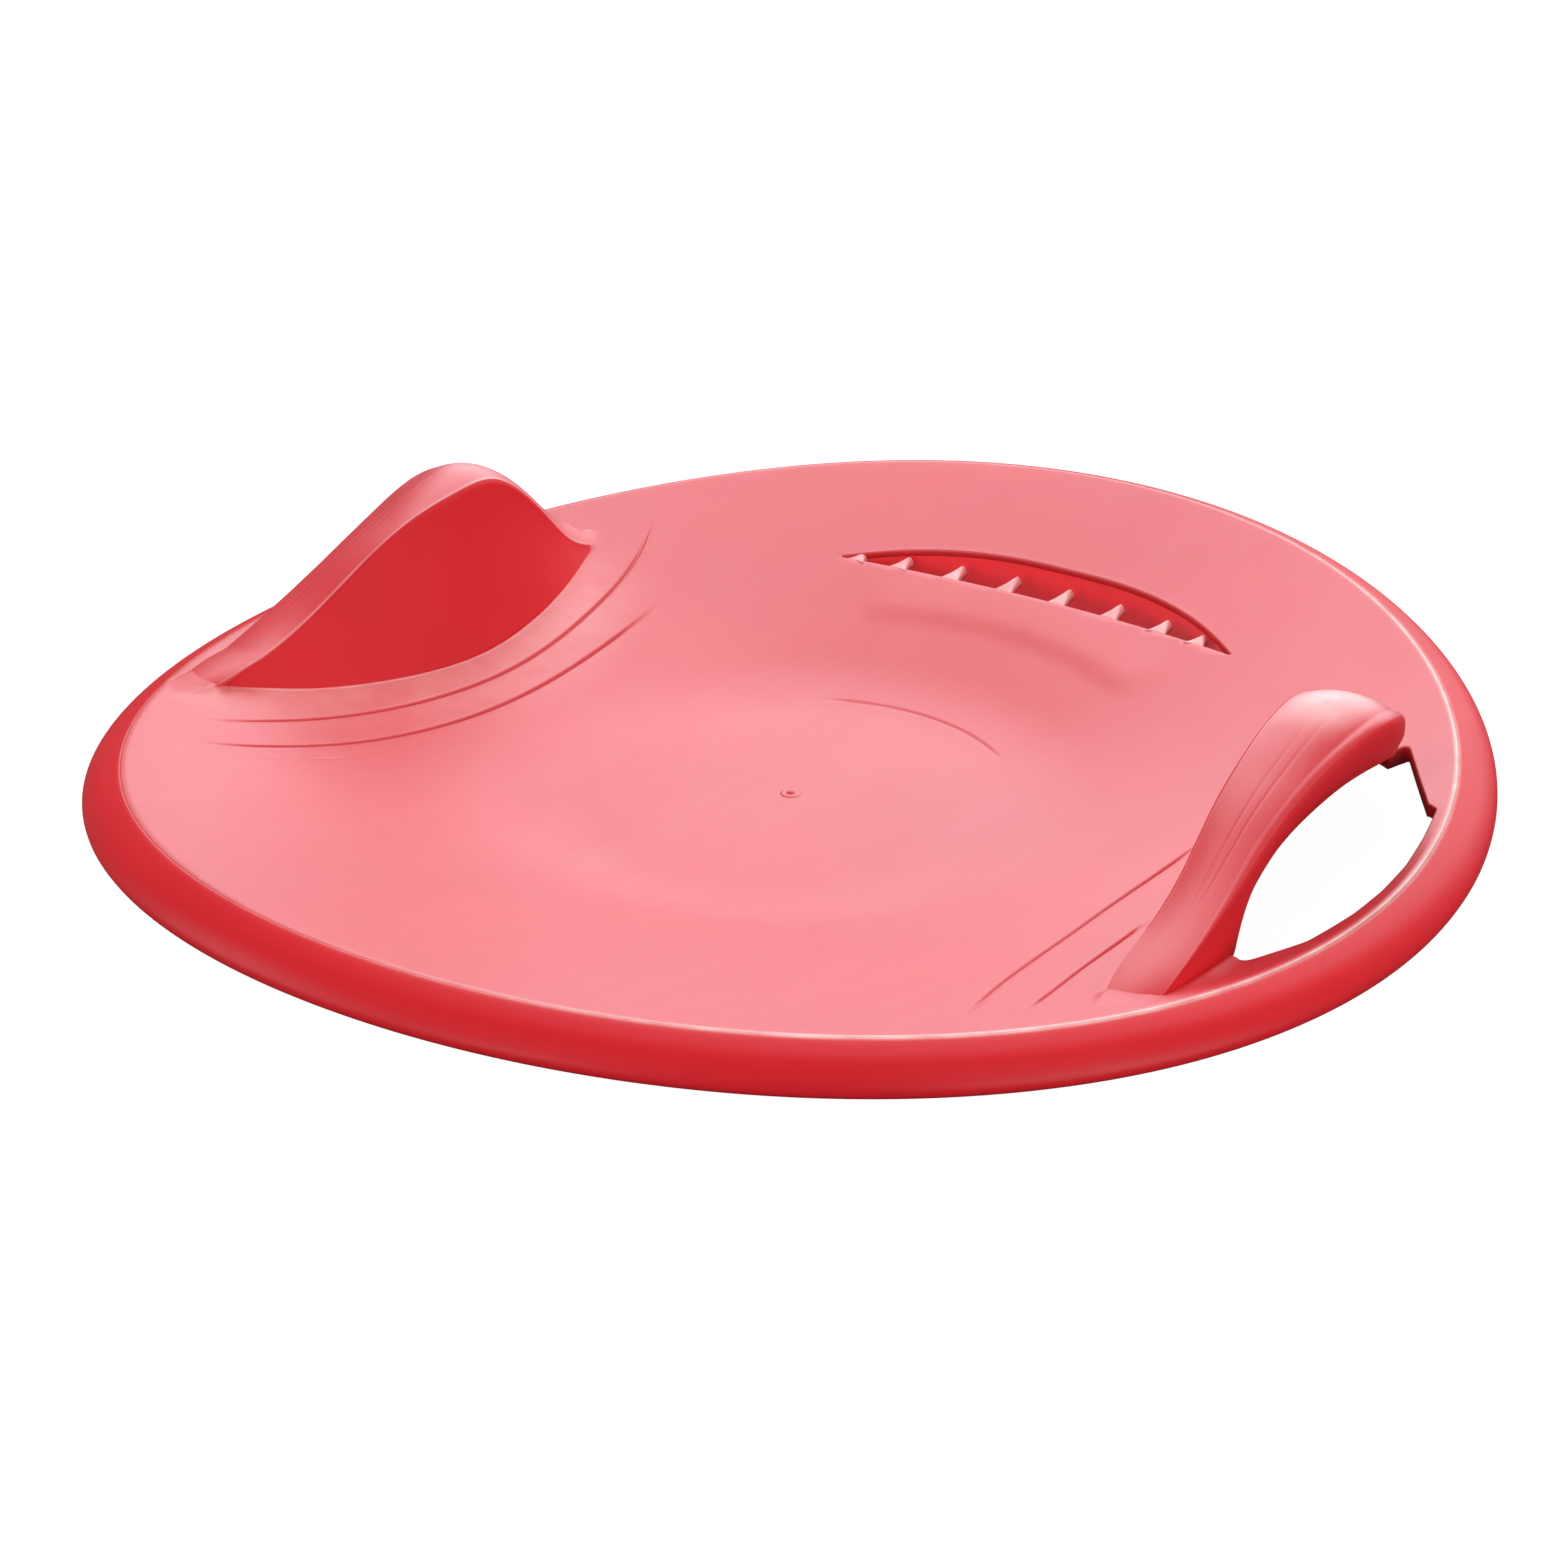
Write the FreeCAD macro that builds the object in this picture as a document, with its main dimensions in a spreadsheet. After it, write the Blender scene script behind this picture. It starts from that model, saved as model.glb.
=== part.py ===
import FreeCAD, Part
import Sketcher
import math
import os

Vector = FreeCAD.Vector

doc = FreeCAD.newDocument("SaucerSled")
sheet = doc.addObject("Spreadsheet::Sheet", "Sizes")

# Driving dimensions in millimetres. The sled's front is at -Y, right means +X, as seen from
# the front, and its origin is the middle of the flat underside.
sizes = {
    "ridge_radius": 284.0,
    "ridge_rise_end": 58.3,
    "ridge_rise_side": 33.9,
    "floor_bend_radius": 110.0,
    "floor_bend_half": 24.0,
    "deck_wall": 3.5,
    "foot_flat": 0.15,
    "rim_wall": 3.5,
    "rim_overhang": 17.0,
    "rim_drop": 15.5,
    "grip_front": 132.0,
    "grip_rear": 142.0,
    "grip_inset": 27.5,
    "grip_rise": 87.0,
    "grip_wall": 3.5,
    "grip_edge": 1.2,
    "grip_crown": 1.5,
    "grip_overhang": 1.0,
    "grip_hollow": 2.0,
    "lip_draft": 2.0,
    "arch_front": 56.0,
    "arch_rear": 122.0,
    "arch_rise": 65.5,
    "rim_bar_front": 16.5,
    "rim_bar": 7.2,
    "rim_bar_rear": 6.6,
    "shelf_front": 83.0,
    "shelf_step": 5.5,
    "shelf_root": 124.0,
    "slot_half": 116.0,
    "slot_inset": 70.5,
    "slot_gap": 21.0,
    "slot_bow": 12.5,
    "rib_base": 10.0,
    "rib_reach": 8.0,
    "rib_tip": 2.0,
    "apron_wall": 3.0,
    "apron_depth": 17.0,
    "groove_width": 2.4,
    "groove_depth": 1.0,
    "rear_groove_radius": 98.5,
    "gate_radius": 4.6,
    "gate_height": 0.7,
    "gate_nub_radius": 1.8,
    "gate_nub_height": 1.5,
    "cut_overrun": 5.0,
}
for row, (alias, value) in enumerate(sizes.items(), start=1):
    sheet.set("A%d" % row, alias)
    sheet.set("B%d" % row, str(value))
    sheet.setAlias("B%d" % row, alias)
doc.recompute()


def size(alias):
    return float(getattr(sheet, alias))


# Counts of the rows that carry the deck surface and of the radial steps of half the rim.
deck_rows = 32
rim_steps = 12

# One row for each cross-section of a grip, front to rear, as shares of the grip's own sizes:
# place along the grip, reach and rise of the band's inner edge, reach and rise of its outer
# edge, reach of the wall's foot at floor level, and whether that foot edges the hand opening.
grip_station_shares = [
    (0.000, 0.920, 0.333, 0.971, 0.345, 0.920, False),
    (0.066, 0.905, 0.429, 0.981, 0.443, 0.865, False),
    (0.161, 0.894, 0.501, 0.984, 0.506, 0.768, True),
    (0.263, 0.887, 0.618, 0.982, 0.626, 0.760, True),
    (0.372, 0.873, 0.799, 0.979, 0.764, 0.758, True),
    (0.482, 0.862, 0.934, 0.984, 0.885, 0.752, True),
    (0.591, 0.851, 1.000, 0.998, 0.969, 0.752, True),
    (0.701, 0.848, 0.952, 1.000, 0.957, 0.758, True),
    (0.766, 0.842, 0.770, 0.979, 0.879, 0.765, True),
    (0.810, 0.840, 0.609, 0.955, 0.793, 0.764, True),
    (0.854, 0.837, 0.454, 0.928, 0.632, 0.760, True),
    (0.898, 0.832, 0.374, 0.903, 0.483, 0.780, False),
    (0.949, 0.827, 0.299, 0.873, 0.356, 0.799, False),
    (1.000, 0.823, 0.218, 0.850, 0.253, 0.811, False),
]

# The finger arch seen from the side: place between its front and rear ends, share of its rise.
arch_shares = [
    (0.000, 0.370),
    (0.045, 0.595),
    (0.097, 0.700),
    (0.165, 0.790),
    (0.250, 0.870),
    (0.335, 0.930),
    (0.443, 0.990),
    (0.600, 1.000),
    (0.739, 0.915),
    (0.830, 0.790),
    (0.898, 0.625),
    (0.943, 0.565),
    (1.000, 0.500),
]

# The rolled rim's outer skin: shares of its overhang and of its drop.
rim_skin_shares = [
    (0.00, 0.00),
    (0.30, 0.10),
    (0.58, 0.23),
    (0.86, 0.46),
    (1.00, 0.76),
    (0.95, 0.92),
    (0.82, 1.00),
]

# Ribs stand along the slot's front edge at these shares of its half length, on both sides.
rib_place_shares = [0.13, 0.39, 0.64, 0.83]

# Courses of the two long grooves beside each grip, front to rear: shares of the ridge radius,
# along the sled and out from its middle line.
right_groove_shares = [
    [(-0.517, 0.762), (-0.400, 0.742), (-0.250, 0.725), (-0.140, 0.718)],
    [(-0.583, 0.704), (-0.450, 0.672), (-0.250, 0.646), (-0.050, 0.637), (0.150, 0.650)],
]
left_groove_shares = [
    [(-0.522, 0.756), (-0.384, 0.683), (-0.194, 0.655), (0.035, 0.645), (0.316, 0.658), (0.513, 0.701)],
    [(-0.587, 0.695), (-0.450, 0.615), (-0.170, 0.568), (0.060, 0.558), (0.253, 0.567), (0.342, 0.574)],
]
# Half the angle that the groove behind the seat spans, as a share of a full turn.
rear_groove_span_share = 0.09


def ridge_rise(x, y):
    reach = math.hypot(x, y)
    lengthwise_share = (y / reach) ** 2 if reach else 0
    climb = size("ridge_rise_end") - size("ridge_rise_side")
    return size("ridge_rise_side") + climb * lengthwise_share


def climb_share(reach):
    start = size("floor_bend_radius") - size("floor_bend_half")
    stop = size("floor_bend_radius") + size("floor_bend_half")
    if reach <= start:
        run = 0
    elif reach < stop:
        run = (reach - start) ** 2 / (2 * (stop - start))
    else:
        run = reach - size("floor_bend_radius")
    return run / (size("ridge_radius") - size("floor_bend_radius"))


def deck_height(x, y):
    return size("deck_wall") + ridge_rise(x, y) * climb_share(math.hypot(x, y))


def deck_skin():
    # The saddle-rimmed dish as one smooth sheet over a square that covers the rim.
    half = size("ridge_radius") + size("rim_overhang")
    grid = []
    for i in range(deck_rows + 1):
        x = half * (2 * i / deck_rows - 1)
        line = []
        for j in range(deck_rows + 1):
            y = half * (2 * j / deck_rows - 1)
            line.append(Vector(x, y, deck_height(x, y)))
        grid.append(line)
    surface = Part.BSplineSurface()
    surface.interpolate(grid)
    return surface.toShape()


skin = deck_skin()


def layer(name, top_drop, depth):
    # A sheet of even upright thickness that follows the deck.
    sheet_face = skin.translated(Vector(0, 0, -top_drop))
    feature = doc.addObject("Part::Feature", name)
    feature.Shape = sheet_face.extrude(Vector(0, 0, -depth))
    return feature


def plan_prism(name, edges):
    # An outline drawn in plan, raised through the whole height of the sled.
    outline = doc.addObject("Part::Feature", name + "_outline")
    outline.Shape = Part.Face(Part.Wire(Part.__sortEdges__(edges)))
    prism = doc.addObject("Part::Extrusion", name)
    prism.Base = outline
    prism.DirMode = "Custom"
    prism.Dir = Vector(0, 0, 1)
    prism.Solid = True
    prism.setExpression("LengthFwd", "Sizes.grip_rise + Sizes.deck_wall + Sizes.cut_overrun")
    prism.setExpression("LengthRev", "Sizes.cut_overrun")
    return prism


def boolean(kind, name, base, tool):
    result = doc.addObject("Part::" + kind, name)
    result.Base = base
    result.Tool = tool
    return result


def group(name, links):
    result = doc.addObject("Part::Compound", name)
    result.Links = links
    return result


def mirrored(name, source):
    result = doc.addObject("Part::Mirroring", name)
    result.Source = source
    result.Normal = Vector(1, 0, 0)
    result.Base = Vector(0, 0, 0)
    return result


def curve_through(points):
    curve = Part.BSplineCurve()
    curve.interpolate(points)
    return curve


def segment(start, end):
    return Part.LineSegment(start, end).toShape()


def arc(start, middle, end):
    return Part.Arc(start, middle, end).toShape()


def shaped(name, shape):
    feature = doc.addObject("Part::Feature", name)
    feature.Shape = shape
    return feature


# Grip stations
class Station:
    def __init__(self, shares):
        place, inner_reach, inner_rise, outer_reach, outer_rise, foot_reach, edges_opening = shares
        self.edges_opening = edges_opening
        length = size("grip_front") + size("grip_rear")
        reach = size("ridge_radius") - size("grip_inset")
        rise = size("grip_rise")
        self.y = length * place - size("grip_front")
        self.inner_x = reach * inner_reach
        self.inner_z = rise * inner_rise + size("deck_wall")
        self.outer_x = reach * outer_reach
        self.outer_z = rise * outer_rise + size("deck_wall")
        self.foot_x = reach * foot_reach
        self.band_slope = (self.outer_z - self.inner_z) / (self.outer_x - self.inner_x)
        self.wall_top_x = self.inner_x + size("grip_overhang")
        self.wall_top_z = self.inner_z + self.band_slope * size("grip_overhang") - size("grip_edge") / 2

    def point(self, x, z):
        return Vector(x, self.y, z)

    def wall_back_at_deck(self):
        # Where the back of the wall stands on the deck, from a straight line foot to top.
        floor = size("deck_wall")
        x = self.foot_x
        lean = (self.wall_top_x - self.foot_x) / (self.wall_top_z - floor)
        for step in range(4):
            x = self.foot_x + lean * (deck_height(x, self.y) - floor)
        return Vector(x + size("grip_wall"), self.y, 0)


stations = [Station(shares) for shares in grip_station_shares]
opening_stations = [station for station in stations if station.edges_opening]
rear_station = stations[stations.index(opening_stations[-1]) + 1]


def band_section(station):
    wall = size("grip_wall")
    floor = size("deck_wall")
    inner = station.point(station.inner_x, station.inner_z)
    outer = station.point(station.outer_x, station.outer_z)
    crown = (inner + outer) / 2 + Vector(0, 0, size("grip_crown"))
    lip_x = station.outer_x + size("lip_draft")
    lip_outer = station.point(lip_x, floor)
    lip_inner = station.point(lip_x - wall, floor)
    under_outer = station.point(station.outer_x - wall, station.outer_z - wall)
    under_inner = station.point(station.inner_x, station.inner_z - size("grip_edge"))
    return Part.Wire([
        arc(inner, crown, outer),
        segment(outer, lip_outer),
        segment(lip_outer, lip_inner),
        segment(lip_inner, under_outer),
        segment(under_outer, under_inner),
        segment(under_inner, inner),
    ])


def wall_section(station):
    # The top of the wall leans with the band that lies on it.
    wall = Vector(size("grip_wall"), 0, 0)
    foot = station.point(station.foot_x, size("deck_wall"))
    top = station.point(station.wall_top_x, station.wall_top_z)
    back = top + wall + Vector(0, 0, station.band_slope * size("grip_wall"))
    middle = (foot + top) / 2 + Vector(size("grip_hollow"), 0, 0)
    return Part.Wire([
        arc(foot, middle, top),
        segment(top, back),
        arc(back, middle + wall, foot + wall),
        segment(foot + wall, foot),
    ])


def loft(name, sections):
    return shaped(name, Part.makeLoft(sections, True, False))


# Deck
deck_depth = size("deck_wall") + size("foot_flat")
deck_slab = layer("deck_slab", 0, deck_depth)
under_deck = layer("under_deck", 0, size("ridge_rise_end") * 2)

# The underside is planed level where the sled rests on the ground.
ground = doc.addObject("Part::Cylinder", "ground")
ground.setExpression("Radius", "Sizes.ridge_radius")
ground.setExpression("Height", "Sizes.cut_overrun")
ground.setExpression(".Placement.Base.z", "-Sizes.cut_overrun")

ridge_drum = doc.addObject("Part::Cylinder", "ridge_drum")
ridge_drum.setExpression("Radius", "Sizes.ridge_radius")
ridge_drum.setExpression("Height", "Sizes.ridge_rise_end + Sizes.deck_wall + 2 * Sizes.cut_overrun")
ridge_drum.setExpression(".Placement.Base.z", "-Sizes.cut_overrun")


def on_circle(radius, y):
    return Vector(math.sqrt(radius ** 2 - y ** 2), y, 0)


def hand_opening():
    radius = size("ridge_radius")
    front_y = -size("arch_front")
    shelf_y = size("shelf_front")
    edge = [station.wall_back_at_deck() for station in opening_stations]
    first = opening_stations[0]
    lip_inside = first.outer_x - size("grip_wall")
    front_corner = Vector(lip_inside, first.y, 0)
    lip_corner = Vector(lip_inside, front_y, 0)
    bar_front = on_circle(radius - size("rim_bar_front"), front_y)
    bar_middle = on_circle(radius - size("rim_bar"), (front_y + shelf_y) / 2)
    bar_rear = on_circle(radius - size("rim_bar_rear"), shelf_y)
    shelf_tip = bar_rear - Vector(size("shelf_step"), 0, 0)
    shelf_end = Vector(rear_station.outer_x - size("grip_wall"), size("shelf_root"), 0)
    return [
        curve_through(edge).toShape(),
        segment(edge[-1], shelf_end),
        segment(shelf_end, shelf_tip),
        segment(shelf_tip, bar_rear),
        arc(bar_rear, bar_middle, bar_front),
        segment(bar_front, lip_corner),
        segment(lip_corner, front_corner),
        segment(front_corner, edge[0]),
    ]


right_opening = plan_prism("right_opening", hand_opening())
left_opening = mirrored("left_opening", right_opening)

slot_rear = size("ridge_radius") - size("slot_inset")
slot_front = slot_rear - size("slot_gap")
slot_left = Vector(-size("slot_half"), slot_front - size("slot_bow"), 0)
slot_right = Vector(size("slot_half"), slot_front - size("slot_bow"), 0)
slot_front_edge = arc(slot_left, Vector(0, slot_front, 0), slot_right)
slot_rear_edge = arc(slot_left, Vector(0, slot_rear, 0), slot_right)
slot = plan_prism("slot", [slot_front_edge, slot_rear_edge])


def groove(name, points):
    # A groove has its full width along its course and runs out to a point at each end.
    half = size("groove_width") / 2
    sides = []
    for way in (half, -half):
        offset = [points[0]]
        for before, here, after in zip(points, points[1:], points[2:]):
            along = (after - before).normalize()
            offset.append(here + Vector(-along.y, along.x, 0) * way)
        offset.append(points[-1])
        sides.append(curve_through(offset).toShape())
    return plan_prism(name, sides)


def grip_groove(name, way, course):
    radius = size("ridge_radius")
    return groove(name, [Vector(way * radius * out, radius * along, 0) for along, out in course])


groove_links = []
for hand, way, courses in (("right", 1, right_groove_shares), ("left", -1, left_groove_shares)):
    for number, course in enumerate(courses, start=1):
        groove_links.append(grip_groove("%s_groove_%d" % (hand, number), way, course))
rear_points = []
for share in (-1, -1 / 2, 0, 1 / 2, 1):
    turn = 2 * math.pi * rear_groove_span_share * share
    rear_points.append(Vector(math.sin(turn), math.cos(turn), 0) * size("rear_groove_radius"))
groove_links.append(groove("rear_groove", rear_points))
groove_plans = group("groove_plans", groove_links)
groove_layer = layer("groove_layer", -size("cut_overrun"), size("cut_overrun") + size("groove_depth"))
grooves = boolean("Common", "grooves", groove_layer, groove_plans)

deck_disc = boolean("Common", "deck_disc", deck_slab, ridge_drum)
footed_deck = boolean("Cut", "footed_deck", deck_disc, ground)
deck_openings = group("deck_openings", [right_opening, left_opening, slot])
pierced_deck = boolean("Cut", "pierced_deck", footed_deck, deck_openings)
seat_deck = boolean("Cut", "seat_deck", pierced_deck, grooves)


# Rolled rim
def rim_section(turn):
    across = Vector(math.sin(turn), math.cos(turn), 0)
    ridge = across * size("ridge_radius")
    ridge.z = size("deck_wall") + ridge_rise(ridge.x, ridge.y)
    up = Vector(0, 0, 1)
    points = []
    for out, down in rim_skin_shares:
        points.append(ridge + across * (size("rim_overhang") * out) - up * (size("rim_drop") * down))
    outer = curve_through(points)
    inside = []
    for point in points[1:]:
        along = Vector(outer.tangent(outer.parameter(point))[0])
        around = up.cross(across)
        inside.append(point + around.cross(along).normalize() * size("rim_wall"))
    root = across * -size("cut_overrun")
    under = ridge - up * deck_depth
    inner = curve_through([under] + inside)
    return Part.Wire([
        segment(ridge + root, ridge),
        outer.toShape(),
        segment(points[-1], inside[-1]),
        inner.toShape(),
        segment(under, under + root),
        segment(under + root, ridge + root),
    ])


right_rim = loft("right_rim", [rim_section(math.pi * k / rim_steps) for k in range(rim_steps + 1)])
rim_roll = boolean("Fuse", "rim_roll", right_rim, mirrored("left_rim", right_rim))
edge_rim = boolean("Cut", "edge_rim", rim_roll, ridge_drum)


# Hand grips
def finger_arch():
    # The gap under the outer lip, drawn from the side and cut outwards.
    front = -size("arch_front")
    span = size("arch_front") + size("arch_rear")
    inside = rear_station.outer_x - size("grip_wall")
    points = []
    for along, high in arch_shares:
        points.append(Vector(inside, front + span * along, size("deck_wall") + size("arch_rise") * high))
    drop = Vector(0, 0, -size("arch_rise"))
    outline = shaped("arch_outline", Part.Face(Part.Wire([
        curve_through(points).toShape(),
        segment(points[-1], points[-1] + drop),
        segment(points[-1] + drop, points[0] + drop),
        segment(points[0] + drop, points[0]),
    ])))
    cutter = doc.addObject("Part::Extrusion", "finger_arch")
    cutter.Base = outline
    cutter.DirMode = "Custom"
    cutter.Dir = Vector(1, 0, 0)
    cutter.Solid = True
    cutter.setExpression("LengthFwd", "Sizes.ridge_radius + Sizes.rim_overhang")
    return cutter


band_loft = loft("band_loft", [band_section(station) for station in stations])
wall_loft = loft("wall_loft", [wall_section(station) for station in stations])
band_on_deck = boolean("Cut", "band_on_deck", band_loft, under_deck)
right_grip_band = boolean("Cut", "right_grip_band", band_on_deck, finger_arch())
left_grip_band = mirrored("left_grip_band", right_grip_band)
wall_on_deck = boolean("Cut", "wall_on_deck", wall_loft, under_deck)
right_grip_wall = boolean("Cut", "right_grip_wall", wall_on_deck, band_loft)
left_grip_wall = mirrored("left_grip_wall", right_grip_wall)


# Rear slot
def slot_apron_plan():
    wall = Vector(size("apron_wall"), 0, 0)
    behind = Vector(0, slot_rear + size("apron_wall"), 0)
    return plan_prism("apron_plan", [
        slot_rear_edge,
        segment(slot_right, slot_right + wall),
        arc(slot_right + wall, behind, slot_left - wall),
        segment(slot_left - wall, slot_left),
    ])


apron_layer = layer("apron_layer", deck_depth, size("apron_depth"))
rear_slot_apron = boolean("Common", "rear_slot_apron", apron_layer, slot_apron_plan())


def slot_front_at(x):
    # The slot's front edge is an arc through its two tips and its middle.
    bow = size("slot_bow")
    radius = (size("slot_half") ** 2 + bow ** 2) / (2 * bow)
    return slot_front - radius + math.sqrt(radius ** 2 - x ** 2)


def rib_plan(name, x):
    # A tooth that is wide where it leaves the deck and narrow at its tip.
    edge = slot_front_at(x)
    back = edge - size("cut_overrun")
    tip = edge + size("rib_reach")
    flare = (size("rib_base") - size("rib_tip")) / size("rib_reach") * size("cut_overrun")
    wide = (size("rib_base") + flare) / 2
    narrow = size("rib_tip") / 2
    corners = [
        Vector(x - wide, back, 0),
        Vector(x + wide, back, 0),
        Vector(x + narrow, tip, 0),
        Vector(x - narrow, tip, 0),
    ]
    edges = [segment(start, end) for start, end in zip(corners, corners[1:] + corners[:1])]
    return plan_prism(name, edges)


rib_plans = []
for number, share in enumerate(rib_place_shares, start=1):
    for hand, way in (("right", 1), ("left", -1)):
        rib_plans.append(rib_plan("%s_rib_%d" % (hand, number), way * size("slot_half") * share))
rib_stock = boolean("Common", "rib_stock", deck_slab, group("rib_plans", rib_plans))
rear_slot_ribs = boolean("Common", "rear_slot_ribs", rib_stock, slot)


# Moulding gate mark in the middle of the seat
gate_body = doc.addObject("PartDesign::Body", "centre_gate_stub")
gate_body.setExpression(".Placement.Base.z", "Sizes.deck_wall")


def round_pad(name, radius_alias, height_alias):
    sketch = gate_body.newObject("Sketcher::SketchObject", name + "_sketch")
    plane = [item for item in gate_body.Origin.OriginFeatures if item.Role == "XY_Plane"][0]
    sketch.AttachmentSupport = [(plane, "")]
    sketch.MapMode = "FlatFace"
    circle = Part.Circle(Vector(0, 0, 0), Vector(0, 0, 1), size(radius_alias))
    sketch.addGeometry(circle, False)
    sketch.addConstraint(Sketcher.Constraint("Coincident", 0, 3, -1, 1))
    rule = sketch.addConstraint(Sketcher.Constraint("Radius", 0, size(radius_alias)))
    sketch.renameConstraint(rule, "round")
    sketch.setExpression(".Constraints.round", "Sizes." + radius_alias)
    pad = gate_body.newObject("PartDesign::Pad", name)
    pad.Profile = sketch
    pad.setExpression("Length", "Sizes." + height_alias)
    doc.recompute()


round_pad("gate_disc", "gate_radius", "gate_height")
round_pad("gate_nub", "gate_nub_radius", "gate_nub_height")

nodes = [
    (seat_deck, 1),
    (edge_rim, 1),
    (right_grip_wall, 1),
    (left_grip_wall, 1),
    (right_grip_band, 1),
    (left_grip_band, 1),
    (rear_slot_apron, 1),
    (rear_slot_ribs, 2 * len(rib_place_shares)),
    (gate_body, 1),
]

doc.recompute()
for item in doc.Objects:
    if "Invalid" in item.State or "Error" in item.State:
        raise RuntimeError("%s did not build: %s" % (item.Name, item.State))
for node, count in nodes:
    node.Label = node.Name
    shape = node.Shape
    if shape.isNull() or not shape.isValid():
        raise RuntimeError("%s has no sound shape" % node.Label)
    if len(shape.Solids) != count or shape.Volume <= 0:
        raise RuntimeError("%s has %d solids of %.1f" % (node.Label, len(shape.Solids), shape.Volume))

os.makedirs("parts", exist_ok=True)
for node, count in nodes:
    node.Shape.exportStep("parts/%s.step" % node.Label)
    box = node.Shape.BoundBox
    print("%s: %d solids, %.0f mm3, z %.1f to %.1f" % (node.Label, count, node.Shape.Volume, box.ZMin, box.ZMax))
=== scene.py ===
import math

import bmesh
import bpy
import numpy as np
from mathutils import Matrix, Vector, kdtree
from mathutils.geometry import delaunay_2d_cdt


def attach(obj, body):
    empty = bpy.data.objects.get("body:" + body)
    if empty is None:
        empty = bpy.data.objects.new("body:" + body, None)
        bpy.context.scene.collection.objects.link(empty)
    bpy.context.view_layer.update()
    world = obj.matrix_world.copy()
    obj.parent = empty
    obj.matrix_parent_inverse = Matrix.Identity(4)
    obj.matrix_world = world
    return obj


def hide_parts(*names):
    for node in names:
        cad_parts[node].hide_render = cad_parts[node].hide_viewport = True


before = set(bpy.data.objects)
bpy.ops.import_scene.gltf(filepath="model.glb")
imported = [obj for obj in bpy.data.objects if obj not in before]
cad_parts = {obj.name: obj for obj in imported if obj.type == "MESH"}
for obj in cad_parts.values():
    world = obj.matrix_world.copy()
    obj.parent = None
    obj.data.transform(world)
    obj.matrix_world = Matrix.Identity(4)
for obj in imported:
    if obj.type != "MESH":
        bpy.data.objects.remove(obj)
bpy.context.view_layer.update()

scene = bpy.context.scene
mm = 0.001
columns = np.column_stack
print("frame loaded:", ", ".join(sorted(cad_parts)))


# small helpers, all in millimetres until a mesh is made

def ease(t):
    t = np.clip(t, 0.0, 1.0)
    return t * t * (3 - 2 * t)


def rising(at, start, run):
    # smoothly from 0 at the start to 1 at the end of the run
    return ease((at - start) / run)


def falling(at, stop, run):
    # smoothly from 1 to 0, which it reaches at the stop
    return ease((stop - at) / run)


def between(at, rise, fall):
    return rising(at, *rise) * falling(at, *fall)


def bulge(t):
    # 0 at both ends and 1 in the middle
    return 4 * t * (1 - t)


def ripple(gap, half):
    # section of a groove, 1 in the middle and 0 at its edges
    return 0.5 * (1 + math.cos(math.pi * gap / half))


def splineThrough(knots, values, at):
    # natural cubic through the knots
    at = np.asarray(at, float)
    n, h = len(knots), np.diff(knots)
    slope = np.diff(values) / h
    a, b = np.eye(n), np.zeros(n)
    for i in range(1, n - 1):
        a[i, i - 1:i + 2] = h[i - 1], 2 * (h[i - 1] + h[i]), h[i]
        b[i] = 6 * (slope[i] - slope[i - 1])
    bend = np.linalg.solve(a, b)
    k = np.clip(np.searchsorted(knots, at) - 1, 0, n - 2)
    s, e, w = at - knots[k], knots[k + 1] - at, h[k]
    curved = (bend[k] * e ** 3 + bend[k + 1] * s ** 3) / (6 * w)
    first = values[k] / w - bend[k] * w / 6
    last = values[k + 1] / w - bend[k + 1] * w / 6
    return curved + first * e + last * s


def tableAt(table, column, at):
    return splineThrough(table[:, 0], table[:, column], at)


def curveThrough(points, step, fewest=8):
    # a smooth line through the points, sampled at an even step
    points = np.asarray(points, float)
    run = np.concatenate([[0], np.cumsum(np.linalg.norm(np.diff(points, axis=0), axis=1))])
    fine = np.linspace(0, run[-1], max(fewest, int(run[-1] / step) + 1))
    return columns([splineThrough(run, column, fine) for column in points.T])


def cornerWays(corner, before, after):
    # unit ways to both neighbours of a corner, and the length of the shorter edge
    back, on = before - corner, after - corner
    backLength, onLength = np.linalg.norm(back), np.linalg.norm(on)
    return back / backLength, on / onLength, min(backLength, onLength)


def roundedLoop(corners, radii, step, edgeShare=0.45, leastReach=0.05):
    # a closed outline with its corners rounded, sampled at about one step
    corners = np.asarray(corners, float)
    out = []
    for i, corner in enumerate(corners):
        back, on, edge = cornerWays(corner, corners[i - 1], corners[(i + 1) % len(corners)])
        half = math.acos(np.clip(-(back @ on), -1, 1)) / 2
        reach = min(radii[i] * math.tan(half), edgeShare * edge)
        if reach < leastReach:
            out.append(corner)
            continue
        first, last = corner + back * reach, corner + on * reach
        for t in np.linspace(0, 1, max(3, int(2 * half * radii[i] / step) + 2)):
            out.append((1 - t) ** 2 * first + 2 * t * (1 - t) * corner + t * t * last)
    out = np.array(out)
    dense = []
    for a, b in zip(out, np.roll(out, -1, axis=0)):
        parts = max(1, int(np.linalg.norm(b - a) / step))
        dense.extend(a + (b - a) * k / parts for k in range(parts))
    return np.array(dense)


def unitRows(rows):
    return rows / np.linalg.norm(rows, axis=1)[:, None]


def sideways(line):
    # unit normals to the left of the way that an open line runs
    along = np.gradient(line, axis=0)
    return unitRows(columns([-along[:, 1], along[:, 0]]))


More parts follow.
